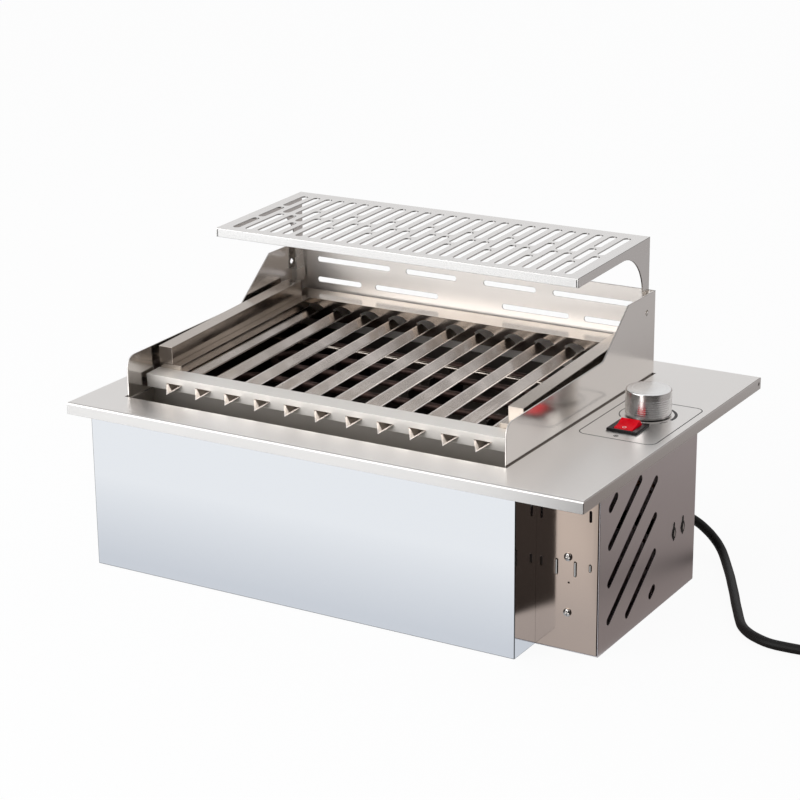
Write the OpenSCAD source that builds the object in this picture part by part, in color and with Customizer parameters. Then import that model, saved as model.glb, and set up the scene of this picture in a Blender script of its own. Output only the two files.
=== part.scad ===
// Built-in electric grill. A steel worktop plate hangs a polished housing below it. A row of V
// gutters lies over a tubular heater, between a wind guard's cheeks, under a warming rack.
// Millimetres, Z up, front at -Y, origin on the floor under the plate's middle.

/* [Top plate] */
// Width of the worktop plate
plate_w = 600; // [596:1:640]
// Depth of the worktop plate
plate_d = 430; // [424:1:460]
// Height of the plate's top face above the floor
plate_h = 184; // [178:1:210]
// Sheet thickness of the plate
plate_t = 1.5; // [1:0.1:2]
// Height of the plate's folded rim
rim_h = 13; // [10:0.5:20]

/* [Housing] */
// Plate's left edge to the housing
box_side = 17.6; // [12:0.2:20]
// Plate's front edge to the housing
box_front = 17.6; // [12:0.2:20]
// Housing to the plate's back edge
box_back = 17.6; // [12:0.2:26]
// Sheet thickness of the housing
box_t = 1.2; // [0.8:0.1:2]

/* [Control box] */
// Width of the control box
ctrl_w = 68.1; // [66:0.1:72]
// Control box to the plate's right edge
ctrl_side = 11.6; // [8:0.2:14]
// Depth of the control box
ctrl_d = 227.5; // [222:0.5:240]
// Plate's front edge to the control box
ctrl_front = 61.2; // [50:0.2:70]
// Sheet thickness of the control box
ctrl_t = 1.2; // [0.8:0.1:2]
// Width of a side vent slot
vent_w = 8.5; // [5:0.5:9]
// Slope of the side vent slots
vent_angle = 35.3; // [25:0.1:45]
// Upright pitch of the side vent slots
vent_pitch = 39; // [34:0.5:46]
// Window of the side vents, along the depth
vent_run = 104; // [80:1:110]
// Window of the side vents, upright
vent_rise = 134; // [110:1:140]
// Head diameter of the front screws
screw_head = 9; // [7:0.5:10]
// Spacing of the front screws
screw_span = 58; // [50:1:64]

/* [Grill well] */
// Side of the housing to the well
well_side = 26.35; // [21:0.05:28]
// Plate's front edge to the well
well_front = 45; // [42:0.5:50]
// Well to the plate's back edge
well_back = 44; // [40:0.5:46]
// Gap between the well and the plate's edge
well_reveal = 2; // [1:0.1:3]
// Plate's top face down to the tub's floor
well_deep = 54; // [50:1:60]
// Sheet thickness of the tub
tub_t = 1; // [0.8:0.1:1.5]
// Front to back size of the fat trough
trough_d = 44.5; // [40:0.5:50]
// Height of the fat trough
trough_h = 52; // [40:1:53]

/* [Wind guard] */
// Height of the guard's back above the plate
guard_h = 93; // [88:1:100]
// Sheet thickness of the guard
guard_t = 1.5; // [1:0.1:1.8]
// Height of a cheek's front above the plate
cheek_h = 43; // [38:0.5:46]
// Length of a cheek's low edge
cheek_run = 212; // [195:1:225]
// Slope of a cheek's low edge
cheek_slope = 1.1; // [0:0.1:1.6]
// Slope of a cheek's rise to the back
cheek_rise = 37.8; // [33:0.1:45]
// Radius of a cheek's front corner
cheek_r = 13; // [6:0.5:20]
// Height of the guard's slots
guard_slot = 6; // [4:0.5:8]
// Height of the upper slot row above the plate
row_high = 74; // [70:0.5:78]
// Height of the lower slot row above the plate
row_low = 50; // [46:0.5:56]

/* [Warming rack] */
// Front to back size of the rack
rack_d = 171; // [160:1:180]
// Height of the rack's back edge above the plate
rack_rise = 152; // [145:1:165]
// Forward tilt of the rack
rack_tilt = 1.7; // [0:0.1:3]
// Sheet thickness of the rack
rack_t = 1.5; // [1:0.1:1.8]
// Height of the rack's folded lips
rack_lip = 10; // [7:0.5:14]
// Width of a rack leg
leg_w = 15; // [10:0.5:18]
// Radius between a leg and the side lip
leg_r = 50; // [30:1:56]
// Width of a rack slot
slot_w = 8; // [5:0.5:9]
// Bridge between the slots of one column
slot_bridge = 6; // [4:0.5:9]

/* [Grate] */
// Rise of the grate to the back
grate_tilt = 2.9; // [2:0.1:3.4]
// Grate's rear wall to the well's back
grate_back = 35; // [33:0.5:42]
// Sheet thickness of the grate
grate_t = 1.2; // [1:0.1:1.5]
// Depth of the front rail
rail_d = 23; // [18:0.5:26]
// Height of the front rail
rail_h = 14.5; // [14:0.1:16]
// Height of the rail's top above the plate
rail_rise = 18; // [17:0.5:22]
// Width of a gutter
gutter_w = 20.3; // [16:0.1:22]
// Depth of a gutter
gutter_deep = 6.5; // [5:0.1:6.8]
// Reach of a gutter's spout ahead of the rail
spout = 15.5; // [8:0.5:18]
// Width of a handle bar
bar_w = 16.9; // [13:0.1:18]
// Height of a handle bar
bar_h = 19; // [14:0.5:24]

/* [Heater] */
// Diameter of the heater's tube
rod_d = 8; // [6.5:0.1:8.5]
// Well's front to the heater's first run
rod_front = 77; // [72:0.5:80]
// Heater's last run to the well's back
rod_back = 34; // [32:0.5:40]
// Plate's top face down to the heater's axis
rod_drop = 16; // [15:0.5:20]

/* [Controls] */
// Diameter of the knob
knob_d = 47.6; // [40:0.2:48]
// Height of the knob
knob_h = 28.5; // [20:0.5:32]
// Diameter of the regulator's shaft
shaft_d = 6; // [5:0.1:6.5]
// Width of the switch bezel
bezel_w = 33.5; // [32:0.1:36]
// Front to back size of the switch bezel
bezel_d = 31.5; // [30:0.1:36]
// Tilt of the rocker at rest
rocker_tilt = 16; // [10:0.5:18]

/* [Cord] */
// Diameter of the mains cord
cord_d = 10; // [9:0.1:10.2]
// Height of the cable gland's axis
gland_z = 52; // [48:0.5:56]
// Outer radius of the coil, at the cord's middle
coil_r = 65; // [62:0.5:68]

/* [Hidden] */
$fn = 48;
cut = 1;
// Small gap between welded or pressed pieces, and between pieces that move
fit = 0.15;
seat = 0.2;
run_fit = 0.05;

// Plate and boxes
top_z = plate_h;
under_z = plate_h - plate_t;
plate_x = plate_w / 2;
plate_y = plate_d / 2;
box_w = plate_w - box_side - ctrl_w - ctrl_side;
box_d = plate_d - box_front - box_back;
box_x0 = box_side - plate_x;
box_x1 = box_x0 + box_w;
box_y0 = box_front - plate_y;
box_y1 = box_y0 + box_d;
ctrl_x1 = box_x1 + ctrl_w;
ctrl_y0 = ctrl_front - plate_y;
ctrl_y1 = ctrl_y0 + ctrl_d;

// Well, tub and guard
mid_x = (box_x0 + box_x1) / 2;
well_w = box_w - 2 * well_side;
well_d = plate_d - well_front - well_back;
well_x = well_w / 2;
well_y0 = well_front - plate_y;
well_y1 = well_y0 + well_d;
tub_z = plate_h - well_deep;
tub_flange = 12;
cheek_in = well_x - guard_t;
guard_foot = 8;
guard_y = well_y1 - guard_t;
cheek_y0 = well_y0 + 3;
guard_z = top_z + guard_h;
cheek_hole = [36, 73];
dip_r = 11;
slot_inset = 24.4;
slot_run = well_x - slot_inset;

// Warming rack
rack_x = cheek_in - 4.1;
rack_y1 = guard_y - 3.5;
rack_y0 = rack_y1 - rack_d;
rack_z = top_z + rack_rise;
rack_seat = 50;
rack_foot = top_z + rack_seat;
rack_columns = 26;
slot_edge = 17.7;
slot_front = 11;
slot_back = 16;
socket_t = 1;
socket_h = 14;
socket_gap = 0.4;

// Grate
rail_set = 30;
grate_len = well_d - rail_set - grate_back;
rail_y = well_y0 + rail_set;
rail_z = top_z + rail_rise;
rail_x = cheek_in - 3.5;
bar_x1 = cheek_in - 5.3;
bar_x0 = bar_x1 - bar_w;
flange_x = bar_x0 - 10.3;
flange_w = 5.5;
lip_drop = 10;
rear_flange = 30;
rear_x = bar_x1 - 3.2;
gutter_count = 11;
gutter_drop = 7;
gutter_tail = 4;
gutter_pitch = (2 * bar_x0 - 13.2 - gutter_w) / (gutter_count - 1);
hole_w = gutter_w + 4.7;
hole_dome = 5;

// Heater
rod_z = top_z - rod_drop;
rod_y0 = well_y0 + rod_front;
rod_pitch = (well_d - rod_front - rod_back) / 5;
bend_r = rod_pitch / 2;
link_x = mid_x - well_x + 17;
left_x = link_x + 38;
right_x = mid_x + well_x - 55;
rod_end = box_x1 + 2;
comb_t = 1.5;
flange_t = 2;
flange_down = 12;
strut_d = 5;
collar_l = 3.5;
blade = [5, 6.3, 0.8];

// Controls
knob_x = box_x1 + 26.7;
knob_y = ctrl_y1 - 31.7;
knob_z = top_z + 1;
switch_y = knob_y - 48.8;
reg_w = 30;
reg_d = 38;
reg_h = 40;
bush_d = 10;
bush_up = 4;
nut_h = 3;
knob_sink = 8;
knob_roof = 4;
body_w = bezel_w - 4.9;
body_d = bezel_d - 3.4;
body_h = 32;
bezel_h = 2.5;
pocket_w = body_w - 7.6;
pocket_d = body_d - 1.8;
rocker_r = pocket_d / 2 - 0.4;
rocker_w = pocket_w - 0.8;
rocker_foot = 5;
rocker_crest = 9.4;
rocker_dip = 1.8;
pin_d = 3;
pin_l = 1;
pivot_z = top_z - 3;
eyelet_y = [knob_y - 21, knob_y + 1];
eyelet_z = 71;
block_w = 18;
block_d = 38;
block_h = 20;
lead_d = 3;

// Cable gland and cord
gland_x = box_x1 + 13.2;
gland_l = 24.3;
gland_r = 8;
gland_end = ctrl_y1 + gland_l;
floor_z = cord_d / 2 + 0.1;
tie_t = 1.2;
tie_gap = 0.7;
tie_w = 10;
coil_z = cord_d / 2 + tie_gap + tie_t + 0.3;
coil_turns = 3.25;
coil_step = cord_d + 0.6;
coil_rise = cord_d + 0.6;
coil_lead = 50;
coil_mid = [gland_x + 289, gland_end - 151 + coil_r];
plug_axis = coil_z + coil_rise;
plug_r = plug_axis - 0.4;
boot_l = 25;
plug_l = 36;
pin_out = 19;
// Route of the free cord: right and back from the gland's end, and the share of the gland's height
route = [
    [0, 0, 1], [0, 12, 0.995], [2, 24, 0.96], [7.5, 35, 0.88], [16, 43.5, 0.76], [26.5, 49, 0.61],
    [38, 50, 0.44], [49, 47, 0.28], [58.5, 40.5, 0.15], [66.5, 31, 0.065], [74, 19.5, 0.015],
    [82.5, 5, 0], [92.5, -13, 0], [103, -33, 0], [114, -54, 0], [124.5, -75, 0], [134.5, -94, 0],
    [143, -110, 0], [151.5, -124, 0], [162.5, -135.5, 0], [176, -144, 0], [191, -149.5, 0],
    [207, -151, 0], [228, -151, 0], [250, -151, 0], [270, -151, 0], [289, -151, 0]
];
function ease(dx) = min(1, max(0, (dx - 193) / 72));
cord_path = [for (p = route) [
    gland_x + p[0],
    gland_end + p[1],
    floor_z + p[2] * (gland_z - floor_z) + ease(p[0]) * (coil_z - floor_z)
]];

// Coil: in by half its turns, up a layer in the half turn at the middle, and out again
coil_rings = 24;
coil_half = coil_turns / 2;
function coil_r_at(t) = coil_r - coil_step * (coil_half - abs(t - coil_half));
function coil_z_at(t) = coil_z + coil_rise * min(1, max(0, (t - coil_half + 0.25) / 0.5));
function coil_at(t) = [
    coil_mid[0] + coil_r_at(t) * sin(360 * t),
    coil_mid[1] - coil_r_at(t) * cos(360 * t),
    coil_z_at(t)
];
coil_loop = [for (i = [0:coil_turns * coil_rings]) coil_at(i / coil_rings)];
coil_end = coil_loop[len(coil_loop) - 1];
coil_out = coil_end + [0, coil_lead, 0];
coil_path = concat(
    coil_loop,
    [for (s = [0.2, 0.6, 1]) coil_end + [0, s * coil_lead, 0]]
);
coil_gap = min([for (i = [0:len(coil_loop) - 1], j = [0:len(coil_loop) - 1])
    if (j - i > coil_rings / 2) norm(coil_loop[j] - coil_loop[i])]) - cord_d;
function reach(p, i = 1) = i < len(p) ? norm(p[i] - p[i - 1]) + reach(p, i + 1) : 0;
echo(coil_gap = coil_gap, cord_length = reach(cord_path) + reach(coil_path) + gland_l);

// Points of a rounded corner at p, where a path turns from heading a to heading b
function turn(p, a, b, r, n = 8) =
    let (s = sign(b - a))
    let (c = p - r * tan(abs(b - a) / 2) * [cos(a), sin(a)] + s * r * [-sin(a), cos(a)])
    [for (i = [0:n]) let (h = a + (b - a) * i / n) c + s * r * [sin(h), -cos(h)]];

// Box between two values on each axis
module span(x, y, z) {
    translate([x[0], y[0], z[0]])
        cube([x[1] - x[0], y[1] - y[0], z[1] - z[0]]);
}

// Flat outline of width and height, pushed along X or along Y from zero
module along_x(length) {
    rotate([90, 0, 90]) linear_extrude(length) children();
}
module along_y(length) {
    translate([0, length, 0]) rotate([90, 0, 0]) linear_extrude(length) children();
}

// Round-ended slot with its long side along the first axis
module slot_flat(length, width) {
    square([length - width, width], center = true);
    for (s = [-1, 1]) translate([s * (length - width) / 2, 0]) circle(d = width);
}

// Tube through points, with its rings square to the path
function unit(v) = v / norm(v);
function heading(p, i) =
    i == 0 ? unit(p[1] - p[0])
    : i == len(p) - 1 ? unit(p[i] - p[i - 1])
    : unit(unit(p[i + 1] - p[i]) + unit(p[i] - p[i - 1]));
function ring(c, h, ref, r, n) =
    let (u = unit(cross(h, ref)), v = cross(u, h))
    [for (k = [0:n - 1]) c + r * (cos(360 * k / n) * u + sin(360 * k / n) * v)];
module tube(path, d, n, ref = [0, 0, 1]) {
    m = len(path);
    points = [for (i = [0:m - 1]) each ring(path[i], heading(path, i), ref, d / 2, n)];
    sides = [for (i = [0:m - 2], k = [0:n - 1])
        [i * n + k, i * n + (k + 1) % n, (i + 1) * n + (k + 1) % n, (i + 1) * n + k]];
    ends = [[for (k = [n - 1:-1:0]) k], [for (k = [0:n - 1]) (m - 1) * n + k]];
    polyhedron(points, concat(sides, ends), convexity = 8);
}

// Places on the grill: its middle line, the tilted grate, the switch
module mid() { translate([mid_x, 0, 0]) children(); }
module on_grate() {
    translate([mid_x, rail_y, rail_z]) rotate([grate_tilt, 0, 0]) children();
}
module each_side() {
    for (s = [0, 1]) mirror([s, 0, 0]) children();
}
module at_switch() { translate([knob_x, switch_y, 0]) children(); }
module at_knob() { translate([knob_x, knob_y, 0]) children(); }
// Through holes for the heater's two ends, radius r, from x0 to x1
module rod_holes(r, x0, x1) {
    for (k = [2, 3]) translate([x0, rod_y0 + k * rod_pitch, rod_z])
        rotate([0, 90, 0]) cylinder(r = r, h = x1 - x0);
}

module top_plate() {
    color("silver") difference() {
        span([-plate_x, plate_x], [-plate_y, plate_y], [top_z - rim_h, top_z]);
        span([plate_t - plate_x, plate_x - plate_t], [plate_t - plate_y, plate_y - plate_t],
            [top_z - rim_h - cut, under_z]);
        mid() span([-well_x - well_reveal, well_x + well_reveal],
            [well_y0, well_y1 + well_reveal], [under_z - cut, top_z + cut]);
        at_knob() translate([0, 0, under_z - cut]) cylinder(d = bush_d + 0.4, h = plate_t + 2 * cut);
        at_switch() span([-body_w / 2 - fit, body_w / 2 + fit], [-body_d / 2 - fit, body_d / 2 + fit],
            [under_z - cut, top_z + cut]);
        translate([plate_x - plate_t - cut, plate_y - 6, top_z - rim_h / 2])
            rotate([0, 90, 0]) cylinder(d = 4, h = plate_t + 2 * cut);
    }
}

module housing() {
    color("gainsboro") difference() {
        span([box_x0, box_x1], [box_y0, box_y1], [0, under_z]);
        span([box_x0 + box_t, box_x1 - box_t], [box_y0 + box_t, box_y1 - box_t], [box_t, top_z]);
        rod_holes(rod_d / 2 + 3, box_x1 - box_t - cut, box_x1 + cut);
    }
}

module inner_tub() {
    color("dimgray") difference() {
        union() {
            mid() span([-well_x - tub_t, well_x + tub_t], [well_y0 - tub_t, well_y1 + tub_t],
                [tub_z - tub_t, under_z]);
            mid() span([-well_x - tub_flange, well_x + tub_flange],
                [well_y0 - tub_flange, well_y1 + tub_flange], [under_z - tub_t, under_z]);
        }
        mid() span([-well_x, well_x], [well_y0, well_y1], [tub_z, top_z]);
        rod_holes(rod_d / 2 + 1, mid_x + well_x - cut, mid_x + well_x + tub_t + cut);
    }
}

module fat_trough() {
    x = cheek_in - 0.5;
    y = well_y0 + 1.5;
    color("darkgray") difference() {
        mid() span([-x, x], [y, y + trough_d], [tub_z, tub_z + trough_h]);
        mid() span([tub_t - x, x - tub_t], [y + tub_t, y + trough_d - tub_t], [tub_z + tub_t, top_z]);
    }
}

// Straight heater runs by number, and the half and quarter bends between them
module rod_run(k, x0, x1) {
    translate([x0, rod_y0 + k * rod_pitch, rod_z]) rotate([0, 90, 0]) cylinder(d = rod_d, h = x1 - x0);
}
module rod_bend(x, k, start, sweep) {
    translate([x, rod_y0 + (k + 0.5) * rod_pitch, rod_z])
        rotate([0, 0, start]) rotate_extrude(angle = sweep) translate([bend_r, 0]) circle(d = rod_d);
}
module heating_element() {
    corner_x = link_x + bend_r;
    color("darkslategray") union() {
        rod_run(2, left_x, rod_end);
        rod_bend(left_x, 1, 90, 180);
        rod_run(1, left_x, right_x);
        rod_bend(right_x, 0, -90, 180);
        rod_run(0, corner_x, right_x);
        rod_bend(corner_x, 0, 180, 90);
        translate([link_x, rod_y0 + bend_r, rod_z])
            rotate([-90, 0, 0]) cylinder(d = rod_d, h = 4 * rod_pitch);
        rod_bend(corner_x, 4, 90, 90);
        rod_run(5, corner_x, right_x);
        rod_bend(right_x, 4, -90, 180);
        rod_run(4, left_x, right_x);
        rod_bend(left_x, 3, 90, 180);
        rod_run(3, left_x, rod_end);
    }
}

module heater_supports() {
    color("gray") for (x = [-1, 0, 1] * well_w * 0.27) difference() {
        mid() span([x - comb_t / 2, x + comb_t / 2], [rod_y0 - 15, rod_y0 + 5 * rod_pitch + 15],
            [tub_z, rod_z]);
        for (k = [0:5]) translate([mid_x + x - cut - comb_t, rod_y0 + k * rod_pitch, rod_z])
            rotate([0, 90, 0]) cylinder(d = rod_d + 2 * seat, h = 2 * comb_t + 2 * cut);
        for (k = [0:4]) mid() span([x - comb_t, x + comb_t],
            [rod_y0 + (k + 0.3) * rod_pitch, rod_y0 + (k + 0.7) * rod_pitch], [tub_z + 12, top_z]);
    }
}

module cross_strut() {
    z = rod_z + rod_d / 2 + 2 * fit + strut_d / 2;
    color("lightgray") translate([mid_x - cheek_in, rod_y0 + 4.35 * rod_pitch, z])
        rotate([0, 90, 0]) cylinder(d = strut_d, h = 2 * cheek_in);
}

module heater_flange() {
    x = mid_x + well_x + tub_t;
    color("gray") difference() {
        span([x, x + flange_t], [rod_y0 + 1.5 * rod_pitch, rod_y0 + 3.5 * rod_pitch],
            [rod_z - flange_down, under_z - tub_t]);
        rod_holes(rod_d / 2 + run_fit, x - cut, x + flange_t + cut);
    }
}

module heater_insulators() {
    color("white") rod_holes(rod_d / 2 + 1.5, rod_end, rod_end + collar_l);
}

module heater_terminals() {
    color("goldenrod") for (k = [2, 3])
        translate([rod_end + collar_l, rod_y0 + k * rod_pitch - blade[1] / 2, rod_z - blade[2] / 2])
            cube(blade);
}

module wind_guard() {
    low = [cheek_y0 + cheek_run, top_z + cheek_h + cheek_run * tan(cheek_slope)];
    high = [low[0] + (guard_z - low[1]) / tan(cheek_rise), guard_z];
    cheek = concat(
        [[cheek_y0, top_z - guard_foot]],
        turn([cheek_y0, top_z + cheek_h], 90, cheek_slope, cheek_r),
        turn(low, cheek_slope, cheek_rise, dip_r),
        turn(high, cheek_rise, 0, 4),
        turn([well_y1, guard_z], 0, -90, 3, 4),
        [[well_y1, top_z - guard_foot]]
    );
    color("silver") mid() difference() {
        union() {
            for (x = [-well_x, cheek_in]) translate([x, 0, 0]) along_x(guard_t) polygon(cheek);
            span([-well_x, well_x], [guard_y, well_y1], [top_z - guard_foot, guard_z]);
        }
        // Slots from the cheek to the middle: row height, start and end as shares of the run
        each_side() for (s = [
            [row_high, 0, 0.484], [row_high, 0.589, 0.913], [row_low, 0, 0.293], [row_low, 0.386, 0.796]
        ]) translate([slot_run * (1 - (s[1] + s[2]) / 2), guard_y - cut, top_z + s[0]])
            along_y(guard_t + 2 * cut) slot_flat(slot_run * (s[2] - s[1]), guard_slot);
        translate([-well_x - cut, cheek_y0 + well_d - cheek_hole[0] + 12, top_z + cheek_hole[1]])
            rotate([0, 90, 0]) cylinder(d = 6, h = well_w + 2 * cut);
    }
}

// Angle ledge on a cheek, tilted like the grate that it carries
module grate_rest() {
    on_grate() {
        span([bar_x0 + 5, cheek_in], [40, grate_len - 10],
            [flange_w - grate_t - seat - 1.5, flange_w - grate_t - seat]);
        span([cheek_in - 1.5, cheek_in], [40, grate_len - 10],
            [flange_w - grate_t - seat - 12, flange_w - grate_t - seat]);
    }
}
module left_grate_rest() { color("gray") translate([2 * mid_x, 0, 0]) mirror([1, 0, 0]) grate_rest(); }
module right_grate_rest() { color("gray") grate_rest(); }

module rack_sockets() {
    y0 = rack_y1 - leg_w - socket_gap;
    y1 = rack_y1 + socket_gap;
    x0 = rack_x - rack_t - socket_gap;
    color("darkgray") mid() each_side() difference() {
        span([x0 - socket_t, cheek_in], [y0 - socket_t, y1 + socket_t],
            [rack_foot - socket_t, rack_foot + socket_h]);
        span([x0, rack_x + socket_gap], [y0, y1], [rack_foot, rack_foot + socket_h + cut]);
    }
}

module warming_rack() {
    run = rack_d - slot_front - slot_back;
    foot = rack_foot - rack_z;
    // Underside of the lips and outline of a leg, from the back edge forwards
    ahead = (rack_d + leg_w) * [-cos(rack_tilt), -sin(rack_tilt)];
    lip = rack_lip / cos(rack_tilt);
    profile = concat(
        [[0, rack_t], [0, foot], [-leg_w, foot]],
        turn([-leg_w, -lip - leg_w * tan(rack_tilt)], 90, 180 + rack_tilt, leg_r, 16),
        [ahead - [0, lip], ahead + [0, lip]]
    );
    color("silver") mid() translate([0, rack_y1, rack_z]) intersection() {
        translate([-rack_x - cut, 0, 0]) along_x(2 * (rack_x + cut)) polygon(profile);
        rotate([rack_tilt, 0, 0]) difference() {
            span([-rack_x, rack_x], [-rack_d, cut], [foot - leg_w, 0]);
            span([rack_t - rack_x, rack_x - rack_t], [rack_t - rack_d, 2 * cut],
                [foot - 2 * leg_w, -rack_t]);
            translate([0, 0, -rack_t - cut]) linear_extrude(rack_t + 2 * cut)
                for (i = [0:rack_columns - 1]) {
                    n = i % 3 == 0 ? 3 : 2;
                    l = (run + slot_bridge) / n;
                    for (j = [0:n - 1]) translate([
                        slot_edge - rack_x + i * 2 * (rack_x - slot_edge) / (rack_columns - 1),
                        slot_front - rack_d + (j + 0.5) * l - slot_bridge / 2
                    ]) rotate(90) slot_flat(l - slot_bridge, slot_w);
                }
        }
    }
}

function gutter_x(i) = (i - (gutter_count + 1) / 2) * gutter_pitch;
// Outside of a gutter's V, grown by g, down from its top corners
module gutter_flat(g = 0) {
    k = gutter_deep / gutter_w * 2;
    polygon([[-gutter_w / 2 - g, 0], [0, -gutter_deep - g * k], [gutter_w / 2 + g, 0]]);
}

module front_rail() {
    color("silver") on_grate() difference() {
        span([-rail_x, rail_x], [0, rail_d], [-rail_h, 0]);
        span([-rail_x - cut, rail_x + cut], [grate_t, rail_d - grate_t], [-rail_h - cut, -grate_t]);
        for (i = [1:gutter_count]) translate([gutter_x(i), -cut, -gutter_drop])
            along_y(rail_d + 2 * cut) gutter_flat(fit);
    }
}

module gutter(i) {
    k = sqrt(1 + pow(gutter_deep / gutter_w * 2, 2));
    wall = grate_t * k;
    edge = wall / gutter_deep * gutter_w / 2;
    color("silver") on_grate() translate([gutter_x(i), 0, -gutter_drop]) difference() {
        translate([0, -spout, 0]) along_y(grate_len + spout + gutter_tail) polygon([
            [-gutter_w / 2, 0], [0, -gutter_deep], [gutter_w / 2, 0],
            [gutter_w / 2 - edge, 0], [0, wall - gutter_deep], [edge - gutter_w / 2, 0]
        ]);
        // Slanting cut of the spout
        translate([-gutter_w, 0, 0]) along_x(2 * gutter_w)
            polygon([[0, 0], [0, cut], [-spout - cut, cut], [-spout - cut, -gutter_deep],
                [0.4 - spout, -gutter_deep]]);
    }
}

module grate_frame() {
    dome_r = (pow(hole_w / 2, 2) + pow(hole_dome, 2)) / (2 * hole_dome);
    dome_half = asin(hole_w / 2 / dome_r);
    grow = (hole_w - gutter_w) / 2;
    slope = gutter_deep / gutter_w * 2;
    corner_z = grow * slope - gutter_drop;
    // V below a low dome
    hole = concat(
        [[0, corner_z - gutter_deep - slope * (grow + fit)]],
        [for (i = [-6:6]) let (a = 90 + dome_half * i / 6)
            [0, corner_z + hole_dome - dome_r] + dome_r * [cos(a), sin(a)]]
    );
    color("silver") on_grate() difference() {
        union() {
            span([-rear_x, rear_x], [grate_len, grate_len + rear_flange], [flange_w - grate_t, flange_w]);
            each_side() {
                span([flange_x, bar_x1], [rail_d - 0.5, grate_len + 2], [flange_w - grate_t, flange_w]);
                span([flange_x, flange_x + grate_t], [rail_d, grate_len + 1],
                    [flange_w - lip_drop, flange_w]);
                // Front end, closed down behind the rail
                span([flange_x, bar_x1], [rail_d + fit, rail_d + fit + grate_t],
                    [flange_w - lip_drop, flange_w]);
            }
            span([-flange_x - grate_t, flange_x + grate_t], [grate_len, grate_len + grate_t],
                [-gutter_drop - gutter_deep - 6, flange_w]);
        }
        for (i = [1:gutter_count]) translate([gutter_x(i), grate_len - cut, 0])
            along_y(grate_t + 2 * cut) polygon(hole);
    }
}

// Hollow bar with closed ends, open under
module handle_bar() {
    y0 = rail_d - 0.5;
    on_grate() difference() {
        span([bar_x0, bar_x1], [y0, grate_len], [flange_w, flange_w + bar_h]);
        span([bar_x0 + grate_t, bar_x1 - grate_t], [y0 + grate_t, grate_len - grate_t],
            [flange_w - cut, flange_w + bar_h - grate_t]);
    }
}
module left_handle_bar() { color("silver") translate([2 * mid_x, 0, 0]) mirror([1, 0, 0]) handle_bar(); }
module right_handle_bar() { color("silver") handle_bar(); }

module control_cover() {
    y0 = ctrl_y0 + 22.8;
    z0 = 21;
    color("gainsboro") difference() {
        span([box_x1, ctrl_x1], [ctrl_y0, ctrl_y1], [0, under_z]);
        span([box_x1 - cut, ctrl_x1 - ctrl_t], [ctrl_y0 - cut, ctrl_y1 - ctrl_t], [ctrl_t, top_z]);
        // Slanting vents, each cut off at the window's sides
        for (k = [-2:3]) {
            rise = tan(vent_angle);
            start = 9 + k * vent_pitch;
            s = max(0, -start / rise);
            e = min(vent_run, (vent_rise - start) / rise);
            if (e - s > vent_w / 4) translate([ctrl_x1 - ctrl_t - cut, y0 + (s + e) / 2,
                z0 + start + rise * (s + e) / 2]) along_x(ctrl_t + 2 * cut)
                    rotate(vent_angle) slot_flat((e - s) / cos(vent_angle) + vent_w, vent_w);
        }
        for (y = eyelet_y) translate([ctrl_x1 - ctrl_t - cut, y, eyelet_z])
            along_x(ctrl_t + 2 * cut) rotate(90) slot_flat(20, 4);
        translate([gland_x, ctrl_y1 - ctrl_t - cut, gland_z]) rotate([-90, 0, 0])
            cylinder(r = gland_r + run_fit, h = ctrl_t + 2 * cut);
    }
}

screw_x = box_x1 + 34.7;
screw_top = 98.6;
screw_z = [screw_top - screw_span, screw_top];
pilot_z = 72;
bracket_t = 2;
bracket_l = 20;
bracket_edge = 8;
module control_front_plate() {
    // Narrow slots: place across the plate, height of the middle, height of the slot
    slots = [
        [5.4, 139, 12], [58, 144, 12], [5.7, 89, 10], [22.3, 86.5, 17], [42.3, 87, 16.5], [58.3, 91, 8.5]
    ];
    color("gainsboro") difference() {
        span([box_x1, ctrl_x1 - ctrl_t - 0.8], [ctrl_y0, ctrl_y0 + ctrl_t], [ctrl_t, under_z]);
        for (z = screw_z) translate([screw_x, ctrl_y0 - cut, z]) rotate([-90, 0, 0])
            cylinder(d = 4.4, h = ctrl_t + 2 * cut);
        translate([screw_x + 1, ctrl_y0 - cut, pilot_z]) rotate([-90, 0, 0])
            cylinder(d = 2, h = ctrl_t + 2 * cut);
        for (s = slots) translate([box_x1 + s[0], ctrl_y0 - cut, s[1]])
            along_y(ctrl_t + 2 * cut) rotate(90) slot_flat(s[2], 2.6);
    }
}

// Angle on the housing's wall that takes the front screws
module control_bracket() {
    y = ctrl_y0 + ctrl_t;
    height = [screw_z[0] - bracket_edge, screw_z[1] + bracket_edge];
    color("gray") difference() {
        union() {
            span([box_x1, screw_x + bracket_edge], [y, y + bracket_t], height);
            span([box_x1, box_x1 + bracket_t], [y, y + bracket_l], height);
        }
        for (z = screw_z) translate([screw_x, y - cut, z]) rotate([-90, 0, 0])
            cylinder(d = 4 + 2 * run_fit, h = bracket_t + 2 * cut);
    }
}

module front_plate_screws() {
    color("silver") for (z = screw_z) translate([screw_x, ctrl_y0, z]) rotate([90, 0, 0]) {
        translate([0, 0, -8]) cylinder(d = 4, h = 8 + cut);
        rotate_extrude() polygon([[0, 0], [screw_head / 2, 0], [screw_head / 2, 1.4],
            [screw_head / 2 - 0.9, 2.5], [0, 2.5]]);
    }
}

module knob() {
    r = knob_d / 2;
    color("lightgray") at_knob() translate([0, 0, knob_z]) rotate_extrude($fn = 96) polygon([
        [shaft_d / 2 + run_fit, knob_sink], [15, knob_sink], [15, 0], [r - 0.6, 0], [r, 0.6],
        [r, knob_h - 1], [r - 1, knob_h], [0, knob_h], [0, knob_h - knob_roof],
        [shaft_d / 2 + run_fit, knob_h - knob_roof]
    ]);
}

module regulator_shaft() {
    z0 = under_z - 20;
    color("gray") at_knob() translate([0, 0, z0])
        cylinder(d = shaft_d, h = knob_z + knob_h - knob_roof - seat - z0);
}

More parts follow.
